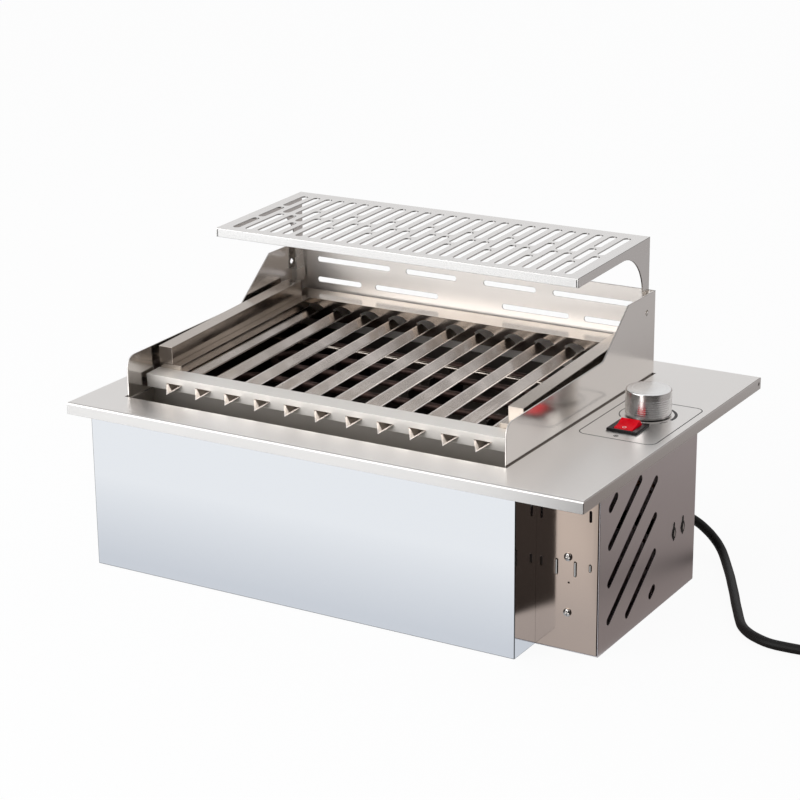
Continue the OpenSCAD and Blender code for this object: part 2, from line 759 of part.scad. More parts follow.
module energy_regulator() {
    color("white") at_knob() difference() {
        union() {
            span([-reg_w / 2, reg_w / 2], [-reg_d / 2, reg_d / 2], [under_z - reg_h, under_z]);
            translate([0, 0, under_z - cut]) cylinder(d = bush_d, h = plate_t + bush_up + cut);
        }
        translate([0, 0, under_z - 20 - seat]) cylinder(d = shaft_d + 2 * run_fit, h = reg_h);
    }
}

module regulator_nut() {
    color("gray") at_knob() translate([0, 0, top_z]) difference() {
        cylinder(d = bush_d + 6, h = nut_h, $fn = 6);
        translate([0, 0, -cut]) cylinder(d = bush_d + 2 * run_fit, h = nut_h + 2 * cut);
    }
}

module switch_bezel() {
    color("black") at_switch() difference() {
        span([-bezel_w / 2, bezel_w / 2], [-bezel_d / 2, bezel_d / 2], [top_z, top_z + bezel_h]);
        span([-pocket_w / 2, pocket_w / 2], [-pocket_d / 2, pocket_d / 2],
            [top_z - cut, top_z + bezel_h + cut]);
    }
}

// Rocker with ends round about its pins, and a shallow crease across its top
module switch_rocker() {
    color("red") at_switch() translate([0, 0, pivot_z]) {
        rotate([rocker_tilt, 0, 0]) translate([-rocker_w / 2, 0, 0]) along_x(rocker_w) intersection() {
            circle(r = rocker_r, $fn = 64);
            polygon([[-rocker_r, -rocker_foot], [rocker_r, -rocker_foot], [rocker_r, rocker_crest],
                [0, rocker_crest - rocker_dip], [-rocker_r, rocker_crest]]);
        }
        translate([-rocker_w / 2 - pin_l, 0, 0]) rotate([0, 90, 0])
            cylinder(d = pin_d, h = rocker_w + 2 * pin_l);
    }
}

module switch_body() {
    color("dimgray") at_switch() difference() {
        span([-body_w / 2, body_w / 2], [-body_d / 2, body_d / 2], [top_z - body_h, top_z]);
        span([-pocket_w / 2, pocket_w / 2], [-pocket_d / 2, pocket_d / 2], [pivot_z - 9, top_z + cut]);
        translate([-body_w / 2 - cut, 0, pivot_z]) rotate([0, 90, 0])
            cylinder(d = pin_d + 2 * run_fit, h = body_w + 2 * cut);
    }
}

block_x = ctrl_x1 - ctrl_t - block_w;
block_y = (eyelet_y[0] + eyelet_y[1]) / 2;
module terminal_block() {
    color("ivory") span([block_x, block_x + block_w], [block_y - block_d / 2, block_y + block_d / 2],
        [eyelet_z - block_h / 2, eyelet_z + block_h / 2]);
}

module internal_leads() {
    bx = block_x + block_w / 2;
    top = eyelet_z + block_h / 2;
    sw = top_z - body_h;
    rg = under_z - reg_h;
    tx = rod_end + collar_l + blade[0] - lead_d / 2;
    tz = rod_z - blade[2] / 2;
    ty = rod_y0 + 2 * rod_pitch;
    paths = [
        [[bx, block_y - 10, top], [bx, block_y - 11, top + 10], [bx - 8, block_y - 22, top + 30],
            [knob_x + 9, switch_y + 2, sw - 22], [knob_x + 7, switch_y, sw - 8], [knob_x + 7, switch_y, sw]],
        [[knob_x - 7, switch_y, sw], [knob_x - 7, switch_y, sw - 8], [knob_x - 6, switch_y + 8, sw - 26],
            [knob_x, knob_y - 16, rg - 20], [knob_x, knob_y - 12, rg - 8], [knob_x, knob_y - 12, rg]],
        [[knob_x + 8, knob_y - 4, rg], [knob_x + 8, knob_y - 4, rg - 8], [knob_x, knob_y - 10, rg - 32],
            [tx + 4, ty + 8, rg - 24], [tx, ty, rg - 4], [tx, ty, tz]],
        [[bx, block_y + 8, top], [bx, block_y + 8, top + 10], [knob_x + 4, knob_y + 2, top + 28],
            [tx + 6, ty + rod_pitch + 1, rg - 14], [tx, ty + rod_pitch, rg + 6], [tx, ty + rod_pitch, tz]],
        [[gland_x, ctrl_y1 - ctrl_t - 5, gland_z], [gland_x + 1, block_y + 24, gland_z],
            [gland_x + 6, block_y + 12, gland_z - 5], [bx - 18, block_y + 4, gland_z - 10],
            [bx - 7, block_y + 1, gland_z - 9], [bx - 1, block_y, gland_z - 2],
            [bx, block_y, top - block_h - 2], [bx, block_y, top - block_h]]
    ];
    color("sienna") for (p = paths) tube(p, lead_d, 6, [1, 0.2, 0.1]);
}

// Gland in the box's rear wall: thread, flange and tapered sleeve
module cable_gland() {
    color("black") translate([gland_x, ctrl_y1, gland_z]) rotate([-90, 0, 0]) {
        translate([0, 0, -ctrl_t - 5]) cylinder(r = gland_r, h = ctrl_t + 5 + cut);
        cylinder(d = 24, h = 5, $fn = 6);
        rotate_extrude() polygon([[0, 4], [9.5, 4], [9.5, 9], [8.5, 11], [cord_d / 2 + 1.2, gland_l],
            [0, gland_l]]);
    }
}
module gland_nut() {
    color("dimgray") translate([gland_x, ctrl_y1 - ctrl_t, gland_z]) rotate([90, 0, 0]) difference() {
        cylinder(d = 23, h = 4, $fn = 6);
        translate([0, 0, -cut]) cylinder(r = gland_r + run_fit, h = 4 + 2 * cut);
    }
}

module cord() { color("#202020") tube(cord_path, cord_d, 10); }
module cord_coil() { color("#202020") tube(coil_path, cord_d, 6); }

// Band round the coil's four strands
module cord_tie() {
    t = 0.125;
    r0 = coil_r_at(1 + t) - cord_d / 2 - tie_gap;
    r1 = coil_r_at(t) + cord_d / 2 + tie_gap;
    z0 = coil_z - cord_d / 2 - tie_gap;
    z1 = coil_z + coil_rise + cord_d / 2 + tie_gap;
    color("black") translate(concat(coil_mid, 0)) rotate(360 * t - 90) difference() {
        span([r0 - tie_t, r1 + tie_t], [-tie_w / 2, tie_w / 2], [z0 - tie_t, z1 + tie_t]);
        span([r0, r1], [-tie_w / 2 - cut, tie_w / 2 + cut], [z0, z1]);
    }
}

module plug_body() {
    color("#202020") translate(coil_out) rotate([-90, 0, 0]) rotate_extrude() polygon([
        [0, 0], [cord_d / 2 + 1.3, 0], [cord_d / 2 + 3.5, boot_l - 3], [plug_r - 4, boot_l + 4],
        [plug_r, boot_l + 10], [plug_r, boot_l + plug_l], [0, boot_l + plug_l]
    ]);
}
module plug_pins() {
    color("silver") translate(coil_out + [0, boot_l + plug_l, 0]) for (s = [-1, 1])
        translate([s * 9.5, 0, 0]) rotate([-90, 0, 0]) cylinder(d = 4.8, h = pin_out);
}

top_plate();
housing();
inner_tub();
fat_trough();
heating_element();
heater_supports();
cross_strut();
heater_flange();
heater_insulators();
heater_terminals();
wind_guard();
left_grate_rest();
right_grate_rest();
rack_sockets();
warming_rack();
grate_frame();
front_rail();
for (i = [1:gutter_count]) {
    name = str("gutter_", i < 10 ? "0" : "", i);
    gutter(i);
}
left_handle_bar();
right_handle_bar();
control_cover();
control_front_plate();
control_bracket();
front_plate_screws();
knob();
regulator_shaft();
energy_regulator();
regulator_nut();
switch_bezel();
switch_rocker();
switch_body();
terminal_block();
internal_leads();
cable_gland();
gland_nut();
cord();
cord_coil();
cord_tie();
plug_body();
plug_pins();
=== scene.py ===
# %% [markdown]
# # A built-in electric grill
# The grill hangs in a worktop from a folded steel plate. Nearly all of it is thin stainless
# sheet, so the looks depend on three things: small round folds, the right amount of polish on
# each sheet, and a studio that is bright on one side and dim on the other for the steel to
# mirror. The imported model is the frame: it holds every piece at its real size and place.

# %% Load the frame
from math import cos, pi, radians, sin

import bpy
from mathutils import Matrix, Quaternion, Vector


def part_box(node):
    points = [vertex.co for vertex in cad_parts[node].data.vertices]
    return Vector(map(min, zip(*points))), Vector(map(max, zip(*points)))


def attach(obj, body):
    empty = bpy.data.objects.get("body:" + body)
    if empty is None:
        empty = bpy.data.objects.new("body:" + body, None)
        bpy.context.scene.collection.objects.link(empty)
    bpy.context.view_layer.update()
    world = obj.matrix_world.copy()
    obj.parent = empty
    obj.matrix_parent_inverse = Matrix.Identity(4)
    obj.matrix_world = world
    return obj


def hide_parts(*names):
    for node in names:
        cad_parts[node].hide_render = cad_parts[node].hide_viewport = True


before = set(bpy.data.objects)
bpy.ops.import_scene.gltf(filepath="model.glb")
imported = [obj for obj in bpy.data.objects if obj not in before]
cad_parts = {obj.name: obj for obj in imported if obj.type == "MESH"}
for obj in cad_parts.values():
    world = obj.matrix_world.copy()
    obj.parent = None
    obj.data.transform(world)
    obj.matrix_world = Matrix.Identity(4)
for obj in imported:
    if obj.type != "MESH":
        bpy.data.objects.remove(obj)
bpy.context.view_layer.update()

MM = 0.001

# %% [markdown]
# ## Camera
# The photograph was taken with a long lens from the front right, a little above the rack. The
# place and lens below were worked out from the straight edges of the plate and the boxes. The
# turn is built from the viewing direction, and a small roll about it is added last.

# %% Camera
CAMERA_PLACE = Vector((1.16928, -2.01347, 0.94209))
CAMERA_AZIMUTH = radians(30.62)
CAMERA_DOWN = radians(18.295)
CAMERA_ROLL = radians(-0.5155)
CAMERA_LENS = 104.18
CAMERA_SENSOR = 36

ahead = Vector((
    -sin(CAMERA_AZIMUTH) * cos(CAMERA_DOWN),
    cos(CAMERA_AZIMUTH) * cos(CAMERA_DOWN),
    -sin(CAMERA_DOWN),
))
bpy.ops.object.camera_add(location=CAMERA_PLACE)
camera = bpy.context.object
camera.rotation_mode = "QUATERNION"
camera.rotation_quaternion = ahead.to_track_quat("-Z", "Y") @ Quaternion((0, 0, 1), CAMERA_ROLL)
camera.data.lens = CAMERA_LENS
camera.data.sensor_width = CAMERA_SENSOR
bpy.context.scene.camera = camera
bpy.context.scene.view_settings.view_transform = "Standard"
print("camera at", tuple(round(v, 3) for v in camera.location))

# %% [markdown]
# ## Helpers
# An operator works on whatever is selected, so each helper first clears the selection and takes
# one piece. `pick` selects edges or faces in code, by place or by normal, as a hand would with
# the mouse. A finished piece gets weighted normals: its large flat faces then lead the shading,
# and the narrow rounds between them no longer dent the flats in a mirror finish.

# %% Selecting
def take(piece):
    """Leave edit mode and make this the only selected piece."""
    if bpy.context.mode != "OBJECT":
        bpy.ops.object.mode_set(mode="OBJECT")
    bpy.ops.object.select_all(action="DESELECT")
    piece.select_set(True)
    bpy.context.view_layer.objects.active = piece


def edit(piece):
    take(piece)
    bpy.ops.object.mode_set(mode="EDIT")


def pick(piece, kind, test):
    """In edit mode, select the edges or faces whose place passes the test."""
    bpy.ops.mesh.select_mode(type=kind)
    bpy.ops.mesh.select_all(action="DESELECT")
    bpy.ops.object.mode_set(mode="OBJECT")
    mesh = piece.data
    places = [v.co for v in mesh.vertices]
    if kind == "EDGE":
        for e in mesh.edges:
            e.select = test(places[e.vertices[0]], places[e.vertices[1]])
    else:
        for f in mesh.polygons:
            f.select = test(f.center, f.normal)
    bpy.ops.object.mode_set(mode="EDIT")


print("selecting: take, edit and pick")

# %% Rounding
def apply_modifiers(piece):
    take(piece)
    for modifier in list(piece.modifiers):
        bpy.ops.object.modifier_apply(modifier=modifier.name)


def soften(piece, width, segments=2, angle=40):
    """Round every edge sharper than the angle, then split the faces that aren't convex."""
    bevel = piece.modifiers.new("soft edges", "BEVEL")
    bevel.width = width
    bevel.segments = segments
    bevel.limit_method = "ANGLE"
    bevel.angle_limit = radians(angle)
    bevel.use_clamp_overlap = False
    apply_modifiers(piece)
    edit(piece)
    bpy.ops.mesh.select_all(action="SELECT")
    bpy.ops.mesh.vert_connect_concave()
    bpy.ops.object.mode_set(mode="OBJECT")


def settle(piece):
    """Put the place, turn and size into the mesh, so the object sits at the origin."""
    take(piece)
    bpy.ops.object.transform_apply(location=True, rotation=True, scale=True)


print("rounding: soften and settle")

# %% Blocks and cuts
def carve(piece, cutter):
    """Cut one mesh out of another and drop the cutter."""
    cut = piece.modifiers.new("cut", "BOOLEAN")
    cut.operation = "DIFFERENCE"
    cut.solver = "EXACT"
    cut.object = cutter
    apply_modifiers(piece)
    bpy.data.objects.remove(cutter)


def block(name, middle, size, turn=(0, 0, 0)):
    """A cube of a size in mm about a point, to be shaped or cut with."""
    bpy.ops.object.select_all(action="DESELECT")
    bpy.ops.mesh.primitive_cube_add(
        size=1, location=middle, rotation=turn, scale=[v * MM for v in size]
    )
    piece = bpy.context.object
    piece.name = name
    settle(piece)
    return piece


print("cutting: carve and block")

# %% Copies of the frame's pieces
WELD = 0.004 * MM
FLAT_ANGLE = radians(0.6)


def sheet_of(node, name):
    """A copy of a node's mesh, welded and with its flat faces joined, ready to be worked on."""
    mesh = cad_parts[node].data.copy()
    mesh.materials.clear()
    piece = bpy.data.objects.new(name, mesh)
    bpy.context.scene.collection.objects.link(piece)
    take(piece)
    if mesh.has_custom_normals:
        bpy.ops.mesh.customdata_custom_splitnormals_clear()
    bpy.ops.object.mode_set(mode="EDIT")
    bpy.ops.mesh.select_all(action="SELECT")
    bpy.ops.mesh.remove_doubles(threshold=WELD)
    bpy.ops.mesh.dissolve_limited(angle_limit=FLAT_ANGLE)
    bpy.ops.object.mode_set(mode="OBJECT")
    return piece


print("copies are welded within", WELD / MM, "mm")

# %% Handing in
SMOOTH_ANGLE = radians(32)
# Finishes of this scene that share one of the record's material slots
finish = {}


def hand_in(piece, body, slot, *nodes):
    """Give a finished piece its finish, its body and the nodes that it stands for."""
    piece.data.materials.clear()
    piece.data.materials.append(finish[slot])
    take(piece)
    if piece.type == "MESH":
        bpy.ops.object.shade_smooth_by_angle(angle=SMOOTH_ANGLE)
        even = piece.modifiers.new("even shading", "WEIGHTED_NORMAL")
        even.keep_sharp = True
        apply_modifiers(piece)
    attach(piece, body)
    if nodes:
        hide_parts(*nodes)


# %% Turning a profile
SPIN_WELD = 0.005 * MM


def turned(name, profile, centre, axis, steps=64):
    """Spin a profile of (radius, height) points about an axis through the centre."""
    axis = Vector(axis)
    side = axis.orthogonal().normalized()
    points = [Vector(centre) + r * MM * side + h * MM * axis for r, h in profile]
    bpy.ops.object.select_all(action="DESELECT")
    bpy.ops.mesh.primitive_plane_add(size=MM, location=(0, 0, 0))
    piece = bpy.context.object
    piece.name = name
    edit(piece)
    bpy.ops.mesh.select_mode(type="VERT")
    bpy.ops.mesh.merge(type="CENTER")
    bpy.ops.transform.translate(value=points[0])
    for a, b in zip(points, points[1:]):
        bpy.ops.mesh.extrude_region_move(TRANSFORM_OT_translate={"value": b - a})
    bpy.ops.mesh.select_all(action="SELECT")
    bpy.ops.mesh.spin(steps=steps, angle=2 * pi, center=centre, axis=axis)
    bpy.ops.mesh.select_all(action="SELECT")
    bpy.ops.mesh.remove_doubles(threshold=SPIN_WELD)
    bpy.ops.mesh.normals_make_consistent(inside=False)
    bpy.ops.object.mode_set(mode="OBJECT")
    return piece


print("a spun profile closes within", SPIN_WELD / MM, "mm")

# %% [markdown]
# ## Shared surface effects
# Rolled and brushed steel is never even: the brush leaves fine lines along one direction, hands
# leave faint clouds, and thin sheet is never quite flat. Each effect is a node group, so that
# every steel can use it with its own values. A rounded fold also gets painted shade, a little
# darker than the flats, for the dark that it mirrors. The groups give out plain masks and heights.

# %% Groups and noise
def shader_group(name, inputs, outputs):
    group = bpy.data.node_groups.new(name, "ShaderNodeTree")
    for label, kind, value in inputs:
        socket = group.interface.new_socket(name=label, in_out="INPUT", socket_type=kind)
        if value is not None:
            socket.default_value = value
    for label, kind in outputs:
        group.interface.new_socket(name=label, in_out="OUTPUT", socket_type=kind)
    start = group.nodes.new("NodeGroupInput")
    end = group.nodes.new("NodeGroupOutput")
    return group, start, end


def noise_of(tree, vector, scale, detail, roughness=0.6):
    noise = tree.nodes.new("ShaderNodeTexNoise")
    noise.inputs["Scale"].default_value = scale
    noise.inputs["Detail"].default_value = detail
    noise.inputs["Roughness"].default_value = roughness
    tree.links.new(vector, noise.inputs["Vector"])
    return noise.outputs["Fac"]


print("node helpers: shader_group and noise_of")

# %% Ranges, sums and mixes
def mapped(tree, value, low, high, to_low, to_high):
    """Map Range with plain numbers."""
    node = tree.nodes.new("ShaderNodeMapRange")
    labels = ("From Min", "From Max", "To Min", "To Max")
    for label, number in zip(labels, (low, high, to_low, to_high)):
        node.inputs[label].default_value = number
    tree.links.new(value, node.inputs["Value"])
    return node.outputs["Result"]


def maths(tree, operation, a, b):
    node = tree.nodes.new("ShaderNodeMath")
    node.operation = operation
    for socket, value in zip(node.inputs, (a, b)):
        if isinstance(value, (int, float)):
            socket.default_value = value
        else:
            tree.links.new(value, socket)
    return node.outputs[0]


def mixed(tree, factor, a, b):
    """Mix two colours by a linked factor. Each is a linked socket or three plain numbers."""
    node = tree.nodes.new("ShaderNodeMix")
    node.data_type = "RGBA"
    tree.links.new(factor, node.inputs["Factor"])
    for label, colour in (("A", a), ("B", b)):
        if isinstance(colour, (list, tuple)):
            node.inputs[label].default_value = (*colour, 1)
        else:
            tree.links.new(colour, node.inputs[label])
    return node.outputs["Result"]


print("node helpers: mapped, maths and mixed")

# %% Brush lines and handling marks
brush_group, start, end = shader_group(
    "Brush lines",
    [("Vector", "NodeSocketVector", None)],
    [("Lines", "NodeSocketFloat")],
)
fine = noise_of(brush_group, start.outputs["Vector"], 1.0, 4.0, 0.75)
brush_group.links.new(mapped(brush_group, fine, 0.32, 0.68, 0, 1), end.inputs["Lines"])

marks_group, start, end = shader_group(
    "Handling marks",
    [("Vector", "NodeSocketVector", None), ("Size", "NodeSocketFloat", 9.0)],
    [("Cloud", "NodeSocketFloat"), ("Swell", "NodeSocketFloat")],
)
scaled = marks_group.nodes.new("ShaderNodeVectorMath")
scaled.operation = "SCALE"
marks_group.links.new(start.outputs["Vector"], scaled.inputs[0])
marks_group.links.new(start.outputs["Size"], scaled.inputs["Scale"])
cloud = noise_of(marks_group, scaled.outputs[0], 1.0, 5.0, 0.62)
swell = noise_of(marks_group, scaled.outputs[0], 0.35, 1.0, 0.4)
marks_group.links.new(mapped(marks_group, cloud, 0.35, 0.7, 0, 1), end.inputs["Cloud"])
marks_group.links.new(mapped(marks_group, swell, 0.2, 0.8, 0, 1), end.inputs["Swell"])

print("groups:", brush_group.name, "and", marks_group.name)

# %% Fold lines
# How square to an axis a flat face is, and a face that is wholly part of a fold
FLAT_FACE, FOLD_FACE = 0.985, 0.94
# From here to here a face counts more and more as one that looks left or right
SIDE_FACE = (0.6, 0.9)
fold_group, _, end = shader_group(
    "Fold lines", [], [("Fold", "NodeSocketFloat"), ("Sideways", "NodeSocketFloat")]
)
facing = fold_group.nodes.new("ShaderNodeSeparateXYZ")
fold_group.links.new(
    fold_group.nodes.new("ShaderNodeNewGeometry").outputs["True Normal"], facing.inputs["Vector"]
)
sides = [maths(fold_group, "ABSOLUTE", facing.outputs[axis], 0) for axis in "XYZ"]
straight = maths(fold_group, "MAXIMUM", maths(fold_group, "MAXIMUM", sides[0], sides[1]), sides[2])
fold_group.links.new(mapped(fold_group, straight, FLAT_FACE, FOLD_FACE, 0, 1), end.inputs["Fold"])
fold_group.links.new(mapped(fold_group, sides[0], *SIDE_FACE, 0, 1), end.inputs["Sideways"])
print("group:", fold_group.name)

# %% [markdown]
# ## Steel finishes
# One builder makes all the steels. What changes is the colour, the polish, the way the brush ran
# and how wavy the sheet is. Metal has no colour of its own but the tint of what it mirrors, so
# the colours stay close together and the roughness does most of the work. The gutters lie over
# the heater and are painted darker toward the back: painted reflection of the dark space behind
# them. Their faces all slant, so they get no painted fold shade.

# %% Material helpers
def blank_material(name, colour, metallic, roughness):
    material = bpy.data.materials.new(name)
    material.use_nodes = True
    shader = material.node_tree.nodes["Principled BSDF"]
    shader.inputs["Base Color"].default_value = (*colour, 1)
    shader.inputs["Metallic"].default_value = metallic
    shader.inputs["Roughness"].default_value = roughness
    return material, material.node_tree, shader


def group_node(tree, group):
    node = tree.nodes.new("ShaderNodeGroup")
    node.node_tree = group
    return node


def bump_on(tree, shader, height, distance, strength=1.0):
    bump = tree.nodes.new("ShaderNodeBump")
    bump.inputs["Strength"].default_value = strength
    bump.inputs["Distance"].default_value = distance
    tree.links.new(height, bump.inputs["Height"])
    tree.links.new(bump.outputs["Normal"], shader.inputs["Normal"])


print("material helpers: blank materials, groups and bumps")

# %% Steel marks
BRUSH_ACROSS = 900
BRUSH_ALONG = 14
gutter_low, gutter_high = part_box("gutter_06")
# How much painted shade the back ends get, and how much the clouds take off or add
BACK_SHADE_MOST = 0.8
BACK_SHADE_CLOUDS = (-0.08, 0.1)


def surface_marks(tree, place, brush, size):
    """Brush lines along an axis and handling marks of a size, at a place on the sheet."""
    along = tree.nodes.new("ShaderNodeMapping")
    along.inputs["Scale"].default_value = [
        BRUSH_ALONG if axis == brush else BRUSH_ACROSS for axis in "XYZ"
    ]
    tree.links.new(place, along.inputs["Vector"])
    brushed = group_node(tree, brush_group)
    tree.links.new(along.outputs["Vector"], brushed.inputs["Vector"])
    handled = group_node(tree, marks_group)
    handled.inputs["Size"].default_value = size
    tree.links.new(place, handled.inputs["Vector"])
    return brushed.outputs, handled.outputs


def back_shade_marks(tree, place, cloud):
    """How much painted shade the steel gets: more from the front of the gutters to their back, and
    uneven.
    """
    depth = tree.nodes.new("ShaderNodeSeparateXYZ")
    tree.links.new(place, depth.inputs["Vector"])
    reach = mapped(tree, depth.outputs["Y"], gutter_low.y, gutter_high.y, 0, BACK_SHADE_MOST)
    return maths(tree, "ADD", reach, mapped(tree, cloud, 0, 1, *BACK_SHADE_CLOUDS))


print("gutters run from", round(gutter_low.y / MM), "to", round(gutter_high.y / MM), "mm")

# %% Steel builder
SHEET_SHADE = 0.97
BRUSH_DULL, BRUSH_SHINE = 0.18, 0.06
BRUSH_DEEP = 0.02 * MM
BRUSH_STRENGTH = 0.35
BRUSH_ROUGH = 0.06
CLOUD_ROUGH = 0.2


def steel(slot, colour, rough, brush="X", lines=0.5, cloud=0.3, wave=0.0, size=9.0, fold_shade=0.9,
          side_rough=None, back_shade=None):
    """Sheet steel: lines is how strongly the brush shows, cloud how handled it is, wave its height.

    A fold gets painted shade that keeps a share of its colour, and faces that look left or right
    may have their own polish.
    Steel over the heater may get painted shade, which grows from the front of the gutters to their
    back.
    """
    material, tree, shader = blank_material(slot, colour, 1.0, rough)
    place = tree.nodes.new("ShaderNodeTexCoord").outputs["Object"]
    brushed, handled = surface_marks(tree, place, brush, size)
    folds = group_node(tree, fold_group).outputs
    dull = [c * (SHEET_SHADE - BRUSH_DULL * lines) for c in colour]
    bright = [min(1, c * (1 + BRUSH_SHINE * lines)) for c in colour]
    streaks = maths(tree, "ADD", maths(tree, "MULTIPLY", brushed["Lines"], lines),
                    maths(tree, "MULTIPLY", handled["Swell"], 1 - lines))
    sheet = mixed(tree, streaks, dull, bright)
    # Painted reflection: darker toward the gutters' back ends, for the dark space behind them.
    if back_shade is not None:
        sheet = mixed(tree, back_shade_marks(tree, place, handled["Cloud"]), sheet, back_shade)
    # Painted shade: a fold keeps only a share of the sheet's colour.
    if fold_shade is not None:
        sheet = mixed(tree, folds["Fold"], sheet, [c * fold_shade for c in colour])
    tree.links.new(sheet, shader.inputs["Base Color"])
    spread = BRUSH_ROUGH * lines
    polish = maths(tree, "ADD", mapped(tree, brushed["Lines"], 0, 1, -spread, spread),
                   mapped(tree, handled["Cloud"], 0, 1, rough, rough + CLOUD_ROUGH * cloud))
    if side_rough is not None:
        change = mapped(tree, folds["Sideways"], 0, 1, 0, side_rough - rough)
        polish = maths(tree, "ADD", polish, change)
    tree.links.new(polish, shader.inputs["Roughness"])
    if wave:
        bump_on(tree, shader, handled["Swell"], wave)
    elif lines:
        bump_on(tree, shader, brushed["Lines"], BRUSH_DEEP, BRUSH_STRENGTH * lines)
    finish[slot] = material


print("brush lines are", BRUSH_DEEP / MM, "mm deep")

# %% Steels
steel("plate_steel", (0.86, 0.83, 0.80), 0.3, "X", lines=0.18, cloud=0.15, fold_shade=0.62,
      side_rough=0.14)
steel("mirror_steel", (0.90, 0.905, 0.92), 0.03, "Z", lines=0.0, cloud=0.03, wave=0.25 * MM,
      size=3.0, fold_shade=0.12)
# Partly painted shade: the tub's dark brown steel is darkened further for the shade under the
# grate.
steel("tub_steel", (0.17, 0.15, 0.135), 0.38, "X", lines=0.4, cloud=0.5)
steel("trough_steel", (0.56, 0.525, 0.485), 0.48, "X", lines=0.2, cloud=0.2)
steel("guard_steel", (0.95, 0.91, 0.87), 0.42, "X", lines=0.15, cloud=0.15, fold_shade=0.6,
      side_rough=0.15)
steel("rack_steel", (0.88, 0.855, 0.83), 0.26, "Y", lines=0.08, cloud=0.12, fold_shade=0.4)
steel("grate_steel", (0.53, 0.47, 0.415), 0.12, "Y", lines=0.3, cloud=0.7, size=24.0)
steel("gutter_steel", (0.91, 0.83, 0.765), 0.12, "Y", lines=0.3, cloud=0.7, size=24.0, fold_shade=None,
      back_shade=(0.11, 0.085, 0.07))
steel("rail_steel", (0.88, 0.85, 0.81), 0.55, "X", lines=0.2, cloud=0.15)
steel("bright_steel", (0.60, 0.575, 0.55), 0.2, "Z", lines=0.1, cloud=0.2)
steel("cover_steel", (0.84, 0.775, 0.775), 0.36, "Z", lines=0.1, cloud=0.12, fold_shade=0.15)
steel("front_cover_steel", (0.60, 0.475, 0.395), 0.1, "Z", lines=0.1, cloud=0.12, wave=0.4 * MM,
      size=14.0)
print("steels:", ", ".join(finish))

# %% [markdown]
# ## The other finishes
# The heater's sheath is steel burnt brown, the terminals are brass, the switch is moulded plastic
# that glows red when the grill is on, and the flex is satin rubber. Each has a fine grain of its
# own in the roughness and bump, so that none is a flat colour. Here the red cap always has a weak
# painted glow.

# %% Grained finishes
def grained(slot, low, high, metallic, rough, scale, depth, detail=4.0, spread=0.12):
    """A finish mottled between two colours, with grain of one size in its polish and its bump."""
    material, tree, shader = blank_material(slot, high, metallic, rough)
    place = tree.nodes.new("ShaderNodeTexCoord").outputs["Object"]
    grain = noise_of(tree, place, scale, detail)
    even = mapped(tree, grain, 0.3, 0.7, 0, 1)
    tree.links.new(mixed(tree, even, low, high), shader.inputs["Base Color"])
    polish = mapped(tree, grain, 0.3, 0.7, rough - spread / 2, rough + spread / 2)
    tree.links.new(polish, shader.inputs["Roughness"])
    bump_on(tree, shader, grain, depth, 0.5)
    finish[slot] = material
    return shader


grained("heater_sheath", (0.055, 0.035, 0.03), (0.15, 0.09, 0.075), 0.7, 0.45, 60, 0.05 * MM)
grained("ceramic", (0.80, 0.78, 0.73), (0.88, 0.86, 0.82), 0.0, 0.6, 900, 0.03 * MM)
grained("brass_parts", (0.70, 0.53, 0.22), (0.82, 0.66, 0.32), 1.0, 0.3, 300, 0.02 * MM)
grained("pale_plastic", (0.76, 0.74, 0.68), (0.82, 0.80, 0.74), 0.0, 0.5, 800, 0.02 * MM)
moulded = grained("black_plastic", (0.004, 0.004, 0.004), (0.009, 0.008, 0.008), 0.0, 0.34, 1600,
                  0.02 * MM)
moulded.inputs["Specular IOR Level"].default_value = 0.2
grained("lead_insulation", (0.28, 0.12, 0.08), (0.38, 0.18, 0.11), 0.0, 0.5, 500, 0.02 * MM)
rubber = grained("black_rubber", (0.006, 0.005, 0.005), (0.014, 0.013, 0.012), 0.0, 0.5, 700,
                 0.04 * MM)
rubber.inputs["Specular IOR Level"].default_value = 0.22
grained("print_ink", (0.02, 0.018, 0.017), (0.045, 0.04, 0.038), 0.0, 0.5, 1200, 0.01 * MM)
grained("white_ink", (0.86, 0.72, 0.70), (0.95, 0.84, 0.82), 0.0, 0.4, 900, 0.005 * MM)
print("finishes so far:", len(finish))

# %% Red plastic
red = grained("red_plastic", (0.52, 0.0, 0.005), (0.70, 0.001, 0.010), 0.0, 0.14, 130, 0.01 * MM,
              2.0, 0.05)
# Painted glow: a weak red emission lights the cap, though nothing is switched on.
red.inputs["Emission Color"].default_value = (1.0, 0.0, 0.02, 1)
red.inputs["Emission Strength"].default_value = 0.18
red.inputs["Specular IOR Level"].default_value = 0.1
print("finishes:", len(finish))

# %% [markdown]
# ## The flex
# The mains lead leaves a gland low in the back of the control box, bends round in the air, comes
# down to the floor and runs forward past the box. The photograph shows only that much. The rest
# of the 1.65 m is wound into a neat coil just outside the picture, as it would be put away. The
# free stretch follows listed points and the coil follows a formula: in by half its turns,
# up one layer, and out again. It is one smooth curve with a round bevel.

# %% Flex route
FLEX_WIDE = 10.0
FLOOR_LIFT = FLEX_WIDE / 2 + 0.1
COIL_LIFT = 7.2
# Where the flex leaves the floor for the coil's height, and over what length
EASE_START, EASE_RUN = 193.0, 72.0
